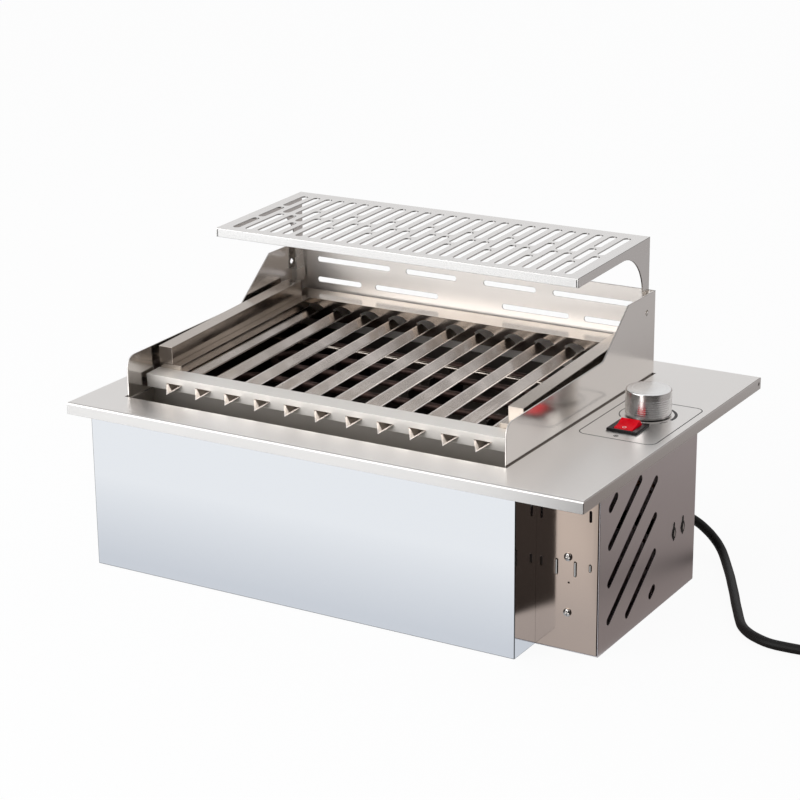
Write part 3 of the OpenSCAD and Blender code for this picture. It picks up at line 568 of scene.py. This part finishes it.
# Right and back from the gland's end, and the share of the gland's height
ROUTE = [
    (0, 0, 1), (0, 12, 0.995), (2, 24, 0.96), (7.5, 35, 0.88), (16, 43.5, 0.76), (26.5, 49, 0.61),
    (38, 50, 0.44), (49, 47, 0.28), (58.5, 40.5, 0.15), (66.5, 31, 0.065), (74, 19.5, 0.015),
    (82.5, 5, 0), (92.5, -13, 0), (103, -33, 0), (114, -54, 0), (124.5, -75, 0), (134.5, -94, 0),
    (143, -110, 0), (151.5, -124, 0), (162.5, -135.5, 0), (176, -144, 0), (191, -149.5, 0),
    (207, -151, 0), (228, -151, 0), (250, -151, 0), (270, -151, 0), (289, -151, 0),
]
gland_low, gland_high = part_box("cable_gland")
gland_middle = (gland_low + gland_high) / 2
gland_end = Vector((gland_middle.x, gland_high.y, gland_middle.z)) / MM


def free_point(right, back, share):
    ease = min(1, max(0, (right - EASE_START) / EASE_RUN))
    lift = FLOOR_LIFT + share * (gland_end.z - FLOOR_LIFT) + ease * (COIL_LIFT - FLOOR_LIFT)
    return Vector((gland_end.x + right, gland_end.y + back, lift))


flex_path = [free_point(*step) for step in ROUTE]
print("free stretch:", len(flex_path), "points")

# %% Flex coil
COIL_RADIUS = 65.0
COIL_TURNS = 3.25
COIL_STEP = FLEX_WIDE + 0.6
COIL_POINTS = 24
COIL_LEAD = 50.0
coil_middle = flex_path[-1] + Vector((0, COIL_RADIUS, 0))


def coil_point(turn):
    half = COIL_TURNS / 2
    radius = COIL_RADIUS - COIL_STEP * (half - abs(turn - half))
    climb = COIL_STEP * min(1, max(0, (turn - half + 0.25) / 0.5))
    angle = 2 * pi * turn
    return Vector((
        coil_middle.x + radius * sin(angle), coil_middle.y - radius * cos(angle), COIL_LIFT + climb
    ))


coil_steps = int(COIL_TURNS * COIL_POINTS)
flex_path += [coil_point(i / COIL_POINTS) for i in range(1, coil_steps + 1)]
coil_out = flex_path[-1]
flex_path += [coil_out + Vector((0, COIL_LEAD * share, 0)) for share in (0.2, 0.6, 1)]
flex_end = flex_path[-1]
flex_length = sum((b - a).length for a, b in zip(flex_path, flex_path[1:]))
print("flex:", len(flex_path), "points,", round(flex_length), "mm")

# %% Flex curve
flex_line = bpy.data.curves.new("flex", "CURVE")
flex_line.dimensions = "3D"
flex_line.bevel_depth = FLEX_WIDE / 2 * MM
flex_line.bevel_resolution = 6
flex_line.resolution_u = 4
flex_line.use_fill_caps = True
spline = flex_line.splines.new("BEZIER")
spline.bezier_points.add(len(flex_path) - 1)
for point, place in zip(spline.bezier_points, flex_path):
    point.co = place * MM
    point.handle_left_type = point.handle_right_type = "AUTO"
flex = bpy.data.objects.new("flex", flex_line)
bpy.context.scene.collection.objects.link(flex)
hand_in(flex, "base", "black_rubber", "cord", "cord_coil")
print("flex curve:", FLEX_WIDE, "mm thick")

# %% [markdown]
# ## Plug and gland
# Both are moulded round an axis, so a profile is spun about it. The plug's boot and the gland's
# sleeve have rings moulded in, which let the flex bend there without kinking.

# %% Plug
PLUG_RADIUS = COIL_LIFT + COIL_STEP - 0.4
BOOT = 25.0
PLUG_LONG = 36.0


def ribbed(r0, r1, h0, h1, count, deep):
    """Profile points of a taper with rings cut into it."""
    points = []
    for i in range(count):
        for share, inset in ((0.0, 0), (0.55, 0), (0.65, deep), (0.9, deep)):
            at = (i + share) / count
            points.append((r0 + (r1 - r0) * at - inset, h0 + (h1 - h0) * at))
    return points + [(r1, h1)]


boot_profile = ribbed(FLEX_WIDE / 2 + 1.3, FLEX_WIDE / 2 + 3.5, 0, BOOT - 3, 5, 0.8)
grip_profile = [
    (PLUG_RADIUS - 4, BOOT + 4), (PLUG_RADIUS - 0.8, BOOT + 8.5), (PLUG_RADIUS, BOOT + 11),
    (PLUG_RADIUS, BOOT + 17), (PLUG_RADIUS - 0.9, BOOT + 17.6), (PLUG_RADIUS - 0.9, BOOT + 20.4),
    (PLUG_RADIUS, BOOT + 21), (PLUG_RADIUS, BOOT + PLUG_LONG - 1.2),
    (PLUG_RADIUS - 1.2, BOOT + PLUG_LONG), (0, BOOT + PLUG_LONG),
]
plug = turned("plug_moulding", [(0, 0)] + boot_profile + grip_profile, flex_end * MM, (0, 1, 0))
hand_in(plug, "base", "black_rubber", "plug_body")
print("plug at", [round(v) for v in flex_end], "mm")

# %% Gland
SLEEVE_LONG = 24.3
gland_root = Vector((gland_end.x, gland_end.y - SLEEVE_LONG, gland_end.z))
gland = sheet_of("cable_gland", "gland_body")
soften(gland, 0.4 * MM)
hand_in(gland, "base", "black_plastic", "cable_gland")
sleeve_profile = [(0, 9), (9.4, 9), (9.4, 9.4)]
sleeve_profile += ribbed(8.9, FLEX_WIDE / 2 + 1.35, 10.5, SLEEVE_LONG, 5, -0.5)
sleeve_profile += [(0, SLEEVE_LONG)]
sleeve = turned("gland_sleeve", sleeve_profile, gland_root * MM, (0, 1, 0), 48)
hand_in(sleeve, "base", "black_rubber")
print("gland:", SLEEVE_LONG, "mm long")

# %% What the flex is
print("flex leaves the gland at", [round(v) for v in gland_end], "mm")

# %% [markdown]
# ## Folded sheets
# The shapes are right in the frame, but its edges are knife sharp, and real sheet never is: a
# fold has a round of about its own thickness, and a cut edge is deburred. So each sheet is a
# welded copy of its node with its edges rounded, and it stands for that node.

# %% Worktop plate
plate_low, plate_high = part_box("top_plate")
plate = sheet_of("top_plate", "plate_sheet")
RIM = 13.0
RIM_ROUND = 2.2
SEAM = 0.5
SEAM_DROP = 3.2
for x in (plate_low.x, plate_high.x):
    for y in (plate_low.y, plate_high.y):
        turn = radians(45 if x * y > 0 else -45)
        at = (x, y, plate_high.z - (RIM / 2 + SEAM_DROP) * MM)
        carve(plate, block("seam", at, (8, SEAM, RIM + 1), (0, 0, turn)))


def on_rim(a, b):
    """The plate's outer fold: both ends at the top, on one side of the rim."""
    high = min(a.z, b.z) > plate_high.z - 0.01 * MM
    sides = [abs(a.x - x) + abs(b.x - x) for x in (plate_low.x, plate_high.x)]
    sides += [abs(a.y - y) + abs(b.y - y) for y in (plate_low.y, plate_high.y)]
    return high and min(sides) < 0.01 * MM


edit(plate)
pick(plate, "EDGE", on_rim)
bpy.ops.mesh.bevel(offset=RIM_ROUND * MM, segments=5, affect="EDGES")
soften(plate, 0.25 * MM, 2, 50)
hand_in(plate, "base", "plate_steel", "top_plate")
print("plate:", len(plate.data.polygons), "faces")

# %% Other sheets
SHEETS = [
    # node, body, finish, edge round in mm
    ("housing", "base", "mirror_steel", 0.8),
    ("wind_guard", "base", "guard_steel", 0.4),
    ("fat_trough", "base", "trough_steel", 0.25),
    ("control_cover", "base", "cover_steel", 0.35),
    ("control_front_plate", "base", "front_cover_steel", 0.3),
    ("warming_rack", "rack", "rack_steel", 0.4),
    ("grate_frame", "grate", "grate_steel", 0.3),
    ("front_rail", "grate", "rail_steel", 0.4),
    ("left_handle_bar", "grate", "grate_steel", 0.45),
    ("right_handle_bar", "grate", "grate_steel", 0.45),
]
SHEETS += [(f"gutter_{i:02d}", "grate", "gutter_steel", 0.2) for i in range(1, 12)]
rack_low, rack_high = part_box("warming_rack")
LIP_IN = 1.9
LIP_DROP = 11.8
for node, body, slot, edge in SHEETS:
    piece = sheet_of(node, node + "_sheet")
    if node == "warming_rack":
        # Open seam where the front lip meets each side lip
        for x in (rack_low.x + LIP_IN * MM, rack_high.x - LIP_IN * MM):
            at = (x, rack_low.y + 0.5 * MM, rack_high.z - LIP_DROP * MM)
            carve(piece, block("seam", at, (SEAM, 4, 10)))
    soften(piece, edge * MM)
    hand_in(piece, body, slot, node)
    print(piece.name, len(piece.data.polygons), "faces")

# %% [markdown]
# ## Knob
# A turned aluminium knob: a plain drum with fine rings left by the tool low on its side, a small
# chamfer, and a top face with the circular lines of a lathe. A ring is a groove in the spun
# profile.

# %% Knob shape
knob_low, knob_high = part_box("knob")
knob_middle = (knob_low + knob_high) / 2
knob_radius = (knob_high.x - knob_low.x) / 2 / MM
knob_tall = (knob_high.z - knob_low.z) / MM
RINGS = 8
RING_FIRST = 3.0
RING_STEP = 2.3
groove = knob_radius - 0.22
side = [(knob_radius - 0.6, 0), (knob_radius, 0.6)]
for i in range(RINGS):
    at = RING_FIRST + RING_STEP * i
    side += [(knob_radius, at), (groove, at + 0.2), (groove, at + 0.5), (knob_radius, at + 0.7)]
top = [(knob_radius, knob_tall - 2.6), (knob_radius - 0.35, knob_tall - 1.7),
       (knob_radius - 1.1, knob_tall - 1.0), (knob_radius - 2.2, knob_tall - 0.65),
       (knob_radius * 0.5, knob_tall - 0.16), (0, knob_tall)]
bore = knob_tall - 4
under = [(0, bore), (3.05, bore), (3.05, 8), (15, 8), (15, 0)]
knob = turned(
    "knob_turned", list(reversed(top)) + list(reversed(side)) + list(reversed(under)),
    (knob_middle.x, knob_middle.y, knob_low.z), (0, 0, 1), 96,
)
print("knob:", round(knob_radius * 2, 1), "mm wide")

# %% Knob finish
LATHE_ACROSS = 1600
LATHE_UP = 1400
material, tree, shader = blank_material("knob_metal", (0.80, 0.79, 0.78), 1.0, 0.24)
place = tree.nodes.new("ShaderNodeTexCoord").outputs["Object"]
centred = tree.nodes.new("ShaderNodeMapping")
centred.vector_type = "TEXTURE"
centred.inputs["Location"].default_value = (knob_middle.x, knob_middle.y, 0)
tree.links.new(place, centred.inputs["Vector"])
length = tree.nodes.new("ShaderNodeVectorMath")
length.operation = "LENGTH"
flat = tree.nodes.new("ShaderNodeVectorMath")
flat.operation = "MULTIPLY"
flat.inputs[1].default_value = (1, 1, 0)
tree.links.new(centred.outputs["Vector"], flat.inputs[0])
tree.links.new(flat.outputs["Vector"], length.inputs[0])
height = tree.nodes.new("ShaderNodeSeparateXYZ")
tree.links.new(place, height.inputs["Vector"])
turning = tree.nodes.new("ShaderNodeCombineXYZ")
tree.links.new(maths(tree, "MULTIPLY", length.outputs["Value"], LATHE_ACROSS), turning.inputs["X"])
tree.links.new(maths(tree, "MULTIPLY", height.outputs["Z"], LATHE_UP), turning.inputs["Y"])
lathe = noise_of(tree, turning.outputs["Vector"], 1.0, 3.0, 0.7)
turned_look = mixed(tree, lathe, (0.80, 0.785, 0.77), (0.96, 0.95, 0.935))
tree.links.new(turned_look, shader.inputs["Base Color"])
tree.links.new(mapped(tree, lathe, 0.3, 0.7, 0.17, 0.29), shader.inputs["Roughness"])
bump_on(tree, shader, lathe, 0.03 * MM, 0.4)
radial = tree.nodes.new("ShaderNodeTangent")
radial.direction_type = "RADIAL"
radial.axis = "Z"
tree.links.new(radial.outputs["Tangent"], shader.inputs["Tangent"])
# A quarter turn, because light spreads across the tool's rings and not along them
shader.inputs["Anisotropic"].default_value = 0.7
shader.inputs["Anisotropic Rotation"].default_value = 0.25
finish["knob_metal"] = material
hand_in(knob, "knob", "knob_metal", "knob")
print("knob:", len(knob.data.polygons), "faces")

# %% [markdown]
# ## Switch
# A red rocker that lights when the grill is on, in a black frame that clips over the plate.

# %% Switch
bezel = sheet_of("switch_bezel", "switch_frame")
soften(bezel, 0.7 * MM, 3)
hand_in(bezel, "base", "black_plastic", "switch_bezel")
rocker = sheet_of("switch_rocker", "rocker_cap")
soften(rocker, 0.5 * MM, 3, 50)
hand_in(rocker, "rocker", "red_plastic", "switch_rocker")
print("switch:", len(bezel.data.polygons) + len(rocker.data.polygons), "faces")

# %% [markdown]
# ## Screws and bent tabs
# Two pan-head screws hold the control box's front. A screw is a spun profile with a cross cut
# into its head. Beside them, tongues of the bracket behind come through narrow slots and are bent
# over.

# %% Screws
screws_low, screws_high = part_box("front_plate_screws")
screw_x = (screws_low.x + screws_high.x) / 2
HEAD_WIDE = 9.0
HEAD_TALL = 2.5
SHANK = 8.0
head_back = screws_low.y + HEAD_TALL * MM
screw_profile = [(0, -SHANK), (2, -SHANK), (2, 0), (4.2, 0), (4.2, 0.8), (3.8, 1.6), (2.8, 2.2),
                 (1.5, 2.45), (0, HEAD_TALL)]


def copied(piece, name, shift):
    """A copy with its own mesh, moved by a shift."""
    other = piece.copy()
    other.data = piece.data.copy()
    other.name = name
    bpy.context.scene.collection.objects.link(other)
    other.location = shift
    settle(other)
    return other


def joined(first, *others):
    take(first)
    for other in others:
        other.select_set(True)
    bpy.ops.object.join()
    return first


upper = Vector((screw_x, head_back, screws_high.z - HEAD_WIDE / 2 * MM))
screw = turned("front_screws", screw_profile, upper, (0, -1, 0), 32)
for size in ((5.4, 2.4, 1.1), (1.1, 2.4, 5.4)):
    carve(screw, block("cross", upper - Vector((0, HEAD_TALL * MM, 0)), size))
span = screws_high.z - screws_low.z - HEAD_WIDE * MM
screws = joined(screw, copied(screw, "lower_screw", (0, 0, -span)))
hand_in(screws, "base", "bright_steel", "front_plate_screws")
print("screws", round(span / MM), "mm apart")

# %% Bent tabs
cover_low, cover_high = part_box("control_front_plate")
# Place across the front, height of the middle and height, in mm
TABS = [(22.3, 86.5, 14.6), (42.3, 87, 14.2), (58.3, 91, 6.4)]
TAB_WIDE = 1.5
TAB_PROUD = 1.0
TAB_BEND = (0.5 * MM, -0.4 * MM, 0)
tab_y = (cover_low.y + cover_high.y - TAB_PROUD * MM) / 2
for i, (across, middle, tall) in enumerate(TABS):
    at = Vector((cover_low.x + across * MM, tab_y, middle * MM))
    tab = block(f"front_tab_{i + 1}", at, (TAB_WIDE, 1.2 + TAB_PROUD, tall))
    edit(tab)
    pick(tab, "FACE", lambda centre, normal: normal.y < -0.9)
    bpy.ops.mesh.extrude_region_move(TRANSFORM_OT_translate={"value": TAB_BEND})
    bpy.ops.object.mode_set(mode="OBJECT")
    if at.x > screws_high.x + HEAD_WIDE * MM:
        foot = Vector((at.x, cover_high.y + 0.5 * MM, at.z))
        tab = joined(tab, block("tab_foot", foot, (5, 1, tall)))
    soften(tab, 0.25 * MM)
    hand_in(tab, "base", "bright_steel")
print("tabs:", len(TABS))

# %% [markdown]
# ## Eyelets in the side
# Two tongues of the terminal block's frame come through slits in the side and are twisted, which
# locks them. Each shows as a small dark lozenge round a bright tongue. The lozenge and a short
# dark slot above it are black plastic on the side: painted shade for the open slit.

# %% Eyelets
cover_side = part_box("control_cover")[1].x
EYELET_HIGH = 69.0
EYELETS = (knob_low.y + knob_radius * MM - 21 * MM, knob_low.y + knob_radius * MM + 1 * MM)


def lozenge(name, middle, size):
    """Six-sided plate facing right, pointed above and below."""
    bpy.ops.object.select_all(action="DESELECT")
    bpy.ops.mesh.primitive_cylinder_add(
        vertices=6, radius=0.5, depth=1, location=middle, rotation=(0, pi / 2, 0),
        scale=[v * MM for v in (size[2], size[1], size[0])],
    )
    piece = bpy.context.object
    piece.name = name
    settle(piece)
    return piece


for i, y in enumerate(EYELETS):
    middle = Vector((cover_side, y, EYELET_HIGH * MM))
    out = middle + Vector((0.3 * MM, 0, 0))
    # Painted shade: a black lozenge and slot stand for the dark open slit.
    slit_shade = lozenge(f"eyelet_slit_shade_{i + 1}", out, (0.6, 9.5, 13.5))
    slit_tail_shade = block("slit_tail_shade", middle + Vector((0.2 * MM, 0, 8 * MM)), (0.8, 2.2, 6))
    slit_shade = joined(slit_shade, slit_tail_shade)
    soften(slit_shade, 0.15 * MM)
    hand_in(slit_shade, "base", "black_plastic")
    out = middle + Vector((0.4 * MM, 0, 0))
    tongue = lozenge(f"eyelet_tongue_{i + 1}", out, (1.4, 3.6, 7.5))
    soften(tongue, 0.2 * MM)
    hand_in(tongue, "base", "bright_steel")
print("eyelets at", [round(y / MM) for y in EYELETS], "mm")

# %% [markdown]
# ## Marks on the plate
# A thin dark line frames the knob and the switch. Round the knob a crescent that grows thicker
# stands for more heat, with a dash at its cold end. A lamp mark, a ring with a cross, stands by
# the switch, and a ring on the rocker's front end is the usual sign for off. Each is ink, a
# twelfth of a millimetre thick, so a flat disc with another cut out of it makes a ring or a
# crescent.

# %% Ink shapes
INK = 0.08
plate_top = plate_high.z


def disc(name, middle, radius, deep=INK, corners=64, turn=(0, 0, 0)):
    """A flat disc, its radius and depth in mm."""
    bpy.ops.object.select_all(action="DESELECT")
    bpy.ops.mesh.primitive_cylinder_add(
        vertices=corners, radius=radius * MM, depth=deep * MM, location=middle, rotation=turn
    )
    piece = bpy.context.object
    piece.name = name
    settle(piece)
    return piece


def on_plate(x, y):
    return Vector((x * MM, y * MM, plate_top + INK / 2 * MM))


def round_corners(piece, radius, segments):
    """Round the upright edges of a flat block and stay in edit mode."""
    edit(piece)
    pick(piece, "EDGE", lambda a, b: abs(a.z - b.z) > INK / 2 * MM)
    bpy.ops.mesh.bevel(offset=radius * MM, segments=segments, affect="EDGES")


print("ink:", INK, "mm thick")

# %% Panel line
PANEL_LEFT, PANEL_RIGHT = 207, 292
PANEL_FRONT, PANEL_BACK = -44, 85
LINE = 1.1
panel = block(
    "panel_line",
    on_plate((PANEL_LEFT + PANEL_RIGHT) / 2, (PANEL_FRONT + PANEL_BACK) / 2),
    (PANEL_RIGHT - PANEL_LEFT, PANEL_BACK - PANEL_FRONT, INK),
)
round_corners(panel, 10, 10)
pick(panel, "FACE", lambda centre, normal: abs(normal.z) > 0.9)
bpy.ops.mesh.inset(thickness=LINE * MM)
bpy.ops.mesh.bridge_edge_loops()
bpy.ops.object.mode_set(mode="OBJECT")
hand_in(panel, "base", "print_ink")
print("panel line:", len(panel.data.polygons), "faces")

# %% Heat scale
SCALE = 30.0
GAP_BLOCK = 60.0
knob_place = on_plate(knob_middle.x / MM, knob_middle.y / MM)
scale = disc("heat_scale", knob_place, SCALE, corners=96)
carve(scale, disc("inner", knob_place - Vector((1.2 * MM, 0, 0)), SCALE - 2.1, 2, 96))
for turn in (-57, -93):
    away = Vector((cos(radians(turn)), sin(radians(turn)), 0)) * GAP_BLOCK / 2 * MM * 2 ** 0.5
    gap = block("gap", knob_place + away, (GAP_BLOCK, GAP_BLOCK, 2), (0, 0, radians(turn + 45)))
    carve(scale, gap)
hand_in(scale, "base", "print_ink")
print("heat scale:", len(scale.data.polygons), "faces")

# %% Cold dash
cold = radians(-33)
dash_place = knob_place + Vector((cos(cold), sin(cold), 0)) * (SCALE - 1.2) * MM
dash = block("cold_dash", dash_place, (1.5, 9.5, INK), (0, 0, cold))
round_corners(dash, 0.6, 4)
bpy.ops.object.mode_set(mode="OBJECT")
hand_in(dash, "base", "print_ink")
print("dash:", len(dash.data.polygons), "faces")

# %% Lamp mark
lamp_place = on_plate(246.7, -34)
lamp = disc("lamp_mark", lamp_place, 2.6, corners=32)
carve(lamp, disc("inner", lamp_place, 1.9, 2, 32))
for turn in (45, 135):
    lamp = joined(lamp, block("stroke", lamp_place, (4.4, 0.7, INK * 0.9), (0, 0, radians(turn))))
hand_in(lamp, "base", "print_ink")
print("lamp mark:", len(lamp.data.polygons), "faces")

# %% Rocker ring
bezel_low, bezel_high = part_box("switch_bezel")
SWITCH_TILT = radians(16)
CREASE = radians(8.04)
CREASE_SLOPE = 0.1412
# From the rocker's pin: how far forward the ring lies, and how high the cap is at its middle
RING_FORWARD = 6.2
CAP_HIGH = 7.6
PIN_DROP = 3.0
ring_turn = (SWITCH_TILT - CREASE, 0, 0)
forward, lift = -RING_FORWARD, CAP_HIGH + RING_FORWARD * CREASE_SLOPE + INK / 2
ring_place = Vector((
    (bezel_low.x + bezel_high.x) / 2,
    (bezel_low.y + bezel_high.y) / 2 + (forward * cos(SWITCH_TILT) - lift * sin(SWITCH_TILT)) * MM,
    bezel_low.z - PIN_DROP * MM + (forward * sin(SWITCH_TILT) + lift * cos(SWITCH_TILT)) * MM,
))
ring = disc("off_ring", ring_place, 2.1, corners=32, turn=ring_turn)
carve(ring, disc("inner", ring_place, 1.45, 2, 32, ring_turn))
hand_in(ring, "rocker", "white_ink")
print("rocker ring:", len(ring.data.polygons), "faces")

# %% [markdown]
# ## Finishes on the plain nodes
# The other nodes already have the right shape. They keep their meshes and take a finish.

# %% Finishes on nodes
NODE_FINISH = {
    "inner_tub": "tub_steel", "heating_element": "heater_sheath", "heater_supports": "tub_steel",
    "cross_strut": "grate_steel", "heater_flange": "tub_steel", "heater_insulators": "ceramic",
    "heater_terminals": "brass_parts", "left_grate_rest": "guard_steel",
    "right_grate_rest": "guard_steel", "rack_sockets": "guard_steel",
    "control_bracket": "tub_steel", "regulator_shaft": "bright_steel",
    "energy_regulator": "pale_plastic", "regulator_nut": "bright_steel",
    "switch_body": "black_plastic", "terminal_block": "pale_plastic",
    "internal_leads": "lead_insulation", "gland_nut": "black_plastic", "cord_tie": "black_plastic",
    "plug_pins": "bright_steel",
}
for node, slot in NODE_FINISH.items():
    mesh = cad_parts[node].data
    mesh.materials.clear()
    mesh.materials.append(finish[slot])
print("nodes with a finish:", len(NODE_FINISH))

# %% [markdown]
# ## Studio
# Polished steel looks like what stands round it. The photograph's studio was white on the left,
# on the left behind and above, nearly black from the front round to the right, and dim and brown
# behind on the right. So the sky is one ramp round the compass, white overhead. The eye sees it
# as plain white, and only the steel mirrors the ramp.

# %% Studio ramp
WHITE = (0.93, 0.95, 0.99)
BLACK = (0.02, 0.014, 0.012)
# Share of a full turn from the left, through the front, and the light that comes from there
STUDIO = [
    (0.00, WHITE), (0.165, WHITE), (0.20, BLACK), (0.50, BLACK), (0.55, (0.30, 0.255, 0.235)),
    (0.74, (0.36, 0.31, 0.285)), (0.82, (0.90, 0.89, 0.88)), (1.00, WHITE),
]


def studio_ramp(tree, vector):
    """The studio's light by compass direction."""
    round_about = tree.nodes.new("ShaderNodeTexGradient")
    round_about.gradient_type = "RADIAL"
    tree.links.new(vector, round_about.inputs["Vector"])
    ramp = tree.nodes.new("ShaderNodeValToRGB")
    ramp.color_ramp.interpolation = "EASE"
    stops = ramp.color_ramp.elements
    while len(stops) < len(STUDIO):
        stops.new(0.5)
    for stop, (at, colour) in zip(stops, STUDIO):
        stop.position = at
        stop.color = (*colour, 1)
    tree.links.new(round_about.outputs["Fac"], ramp.inputs["Fac"])
    return ramp.outputs["Color"]


def mixed_shader(tree, factor, a, b):
    node = tree.nodes.new("ShaderNodeMixShader")
    for source, socket in zip((factor, a, b), node.inputs):
        tree.links.new(source, socket)
    return node.outputs[0]


print("studio ramp:", len(STUDIO), "stops")

# %% Sky
SKY_STRENGTH = 0.85
OVERHEAD = (0.95, 0.96, 0.98)
# The white ceiling leans back a little, and comes in between these heights
CEILING_LEAN = 0.25
CEILING_FROM, CEILING_FULL = 0.32, 0.62
world = bpy.data.worlds.new("studio")
bpy.context.scene.world = world
world.use_nodes = True
tree = world.node_tree
tree.nodes.clear()
look = tree.nodes.new("ShaderNodeTexCoord").outputs["Generated"]
split = tree.nodes.new("ShaderNodeSeparateXYZ")
tree.links.new(look, split.inputs["Vector"])
lean = maths(tree, "MULTIPLY", split.outputs["Y"], CEILING_LEAN)
leaning = maths(tree, "ADD", split.outputs["Z"], lean)
overhead = mapped(tree, leaning, CEILING_FROM, CEILING_FULL, 0, 1)
lit = tree.nodes.new("ShaderNodeBackground")
lit.inputs["Strength"].default_value = SKY_STRENGTH
tree.links.new(mixed(tree, overhead, studio_ramp(tree, look), OVERHEAD), lit.inputs["Color"])
seen = tree.nodes.new("ShaderNodeBackground")
seen.inputs["Color"].default_value = (1, 1, 1, 1)
to_eye = tree.nodes.new("ShaderNodeLightPath").outputs["Is Camera Ray"]
out = tree.nodes.new("ShaderNodeOutputWorld")
tree.links.new(mixed_shader(tree, to_eye, lit.outputs[0], seen.outputs[0]), out.inputs["Surface"])
print("sky:", len(tree.nodes), "nodes")

# %% [markdown]
# ## Floor
# The floor is plain and pale. It shows white to the eye and keeps a faint shadow, and in mirror
# surfaces it takes the same ramp as the sky, turned about the foot of the control box. A strip
# before the housing is darker and cooler, painted shade for the floor close to the grill, and the
# far floor behind on the right is paler than the ramp makes it.

# %% Floor colours
RAMP_CENTRE = (0.293, -0.158, 0)
# Along Y, from the strip of painted shade to plain white
SHADE_TINT_STRIP = (-0.22, -0.42)
SHADE_TINT = (0.69, 0.715, 0.74)
NEAR_WHITE = (0.945, 0.955, 0.945)
PALE_REACH = (0.62, 0.575, 0.555)
# Where the paler floor starts and where it is full: away from the centre, right of it and behind it
PALE_AWAY = (0.45, 1.0)
PALE_RIGHT = (0, 0.25)
PALE_BEHIND = (-0.2, 0.1)
material, tree, shader = blank_material("pale_floor", (0.86, 0.86, 0.87), 0.0, 0.8)
place = tree.nodes.new("ShaderNodeTexCoord").outputs["Object"]
along = tree.nodes.new("ShaderNodeSeparateXYZ")
tree.links.new(place, along.inputs["Vector"])
# Painted shade in reflections: the floor close to the housing is darker and bluer.
floor_shade = mixed(tree, mapped(tree, along.outputs["Y"], *SHADE_TINT_STRIP, 0, 1), SHADE_TINT, NEAR_WHITE)
about = tree.nodes.new("ShaderNodeVectorMath")
about.operation = "SUBTRACT"
about.inputs[1].default_value = RAMP_CENTRE
tree.links.new(place, about.inputs[0])
away = tree.nodes.new("ShaderNodeVectorMath")
away.operation = "LENGTH"
tree.links.new(about.outputs["Vector"], away.inputs[0])
beside = tree.nodes.new("ShaderNodeSeparateXYZ")
tree.links.new(about.outputs["Vector"], beside.inputs["Vector"])
pale = mapped(tree, away.outputs["Value"], *PALE_AWAY, 0, 1)
for axis, limits in (("X", PALE_RIGHT), ("Y", PALE_BEHIND)):
    pale = maths(tree, "MULTIPLY", pale, mapped(tree, beside.outputs[axis], *limits, 0, 1))
ground = mixed(tree, pale, studio_ramp(tree, about.outputs["Vector"]), PALE_REACH)
print("floor colours:", len(tree.nodes), "nodes")

# %% Floor
FLOOR_WIDE = 9
FLOOR_GAP = 0.3 * MM
FLOOR_SHARE = 0.94
wash = tree.nodes.new("ShaderNodeMix")
wash.data_type = "RGBA"
wash.blend_type = "MULTIPLY"
wash.inputs["Factor"].default_value = 1
tree.links.new(ground, wash.inputs["A"])
tree.links.new(floor_shade, wash.inputs["B"])
mirrored = tree.nodes.new("ShaderNodeEmission")
tree.links.new(wash.outputs["Result"], mirrored.inputs["Color"])
plain = tree.nodes.new("ShaderNodeEmission")
plain.inputs["Color"].default_value = (1, 1, 1, 1)
ray = tree.nodes.new("ShaderNodeLightPath").outputs
glow = mixed_shader(tree, ray["Is Camera Ray"], mirrored.outputs[0], plain.outputs[0])
shown = maths(tree, "MAXIMUM", ray["Is Camera Ray"], ray["Is Glossy Ray"])
shown = maths(tree, "MAXIMUM", shown, ray["Is Transmission Ray"])
share = maths(tree, "MULTIPLY", shown, FLOOR_SHARE)
surface = tree.nodes["Material Output"].inputs["Surface"]
tree.links.new(mixed_shader(tree, share, shader.outputs[0], glow), surface)
bpy.ops.object.select_all(action="DESELECT")
bpy.ops.mesh.primitive_plane_add(size=FLOOR_WIDE, location=(0, 0, -FLOOR_GAP))
floor = bpy.context.object
floor.name = "studio_floor"
floor.data.materials.append(material)
print("floor:", FLOOR_WIDE, "m wide")

# %% [markdown]
# ## Lamp
# One wide soft lamp stands in front on the left. It is large, so that its reflection is an even
# patch and the shadow beside the grill has no edge.

# %% Key lamp
KEY_PLACE = (-1.1, -1.9, 0.85)
KEY_AIM = Vector((0, 0, 0.15))
KEY_WIDE, KEY_TALL = 2.8, 2.0
KEY_POWER = 41
bpy.ops.object.light_add(type="AREA", location=KEY_PLACE)
key = bpy.context.object
key.data.shape = "RECTANGLE"
key.data.size = KEY_WIDE
key.data.size_y = KEY_TALL
key.data.energy = KEY_POWER
key.rotation_mode = "QUATERNION"
key.rotation_quaternion = (KEY_AIM - key.location).to_track_quat("-Z", "Y")
print("lamp:", KEY_POWER, "W")

# %% [markdown]
# ## Last step
# The selection is cleared and the scene is brought up to date.

# %% Last step
bpy.ops.object.select_all(action="DESELECT")
bpy.context.view_layer.update()
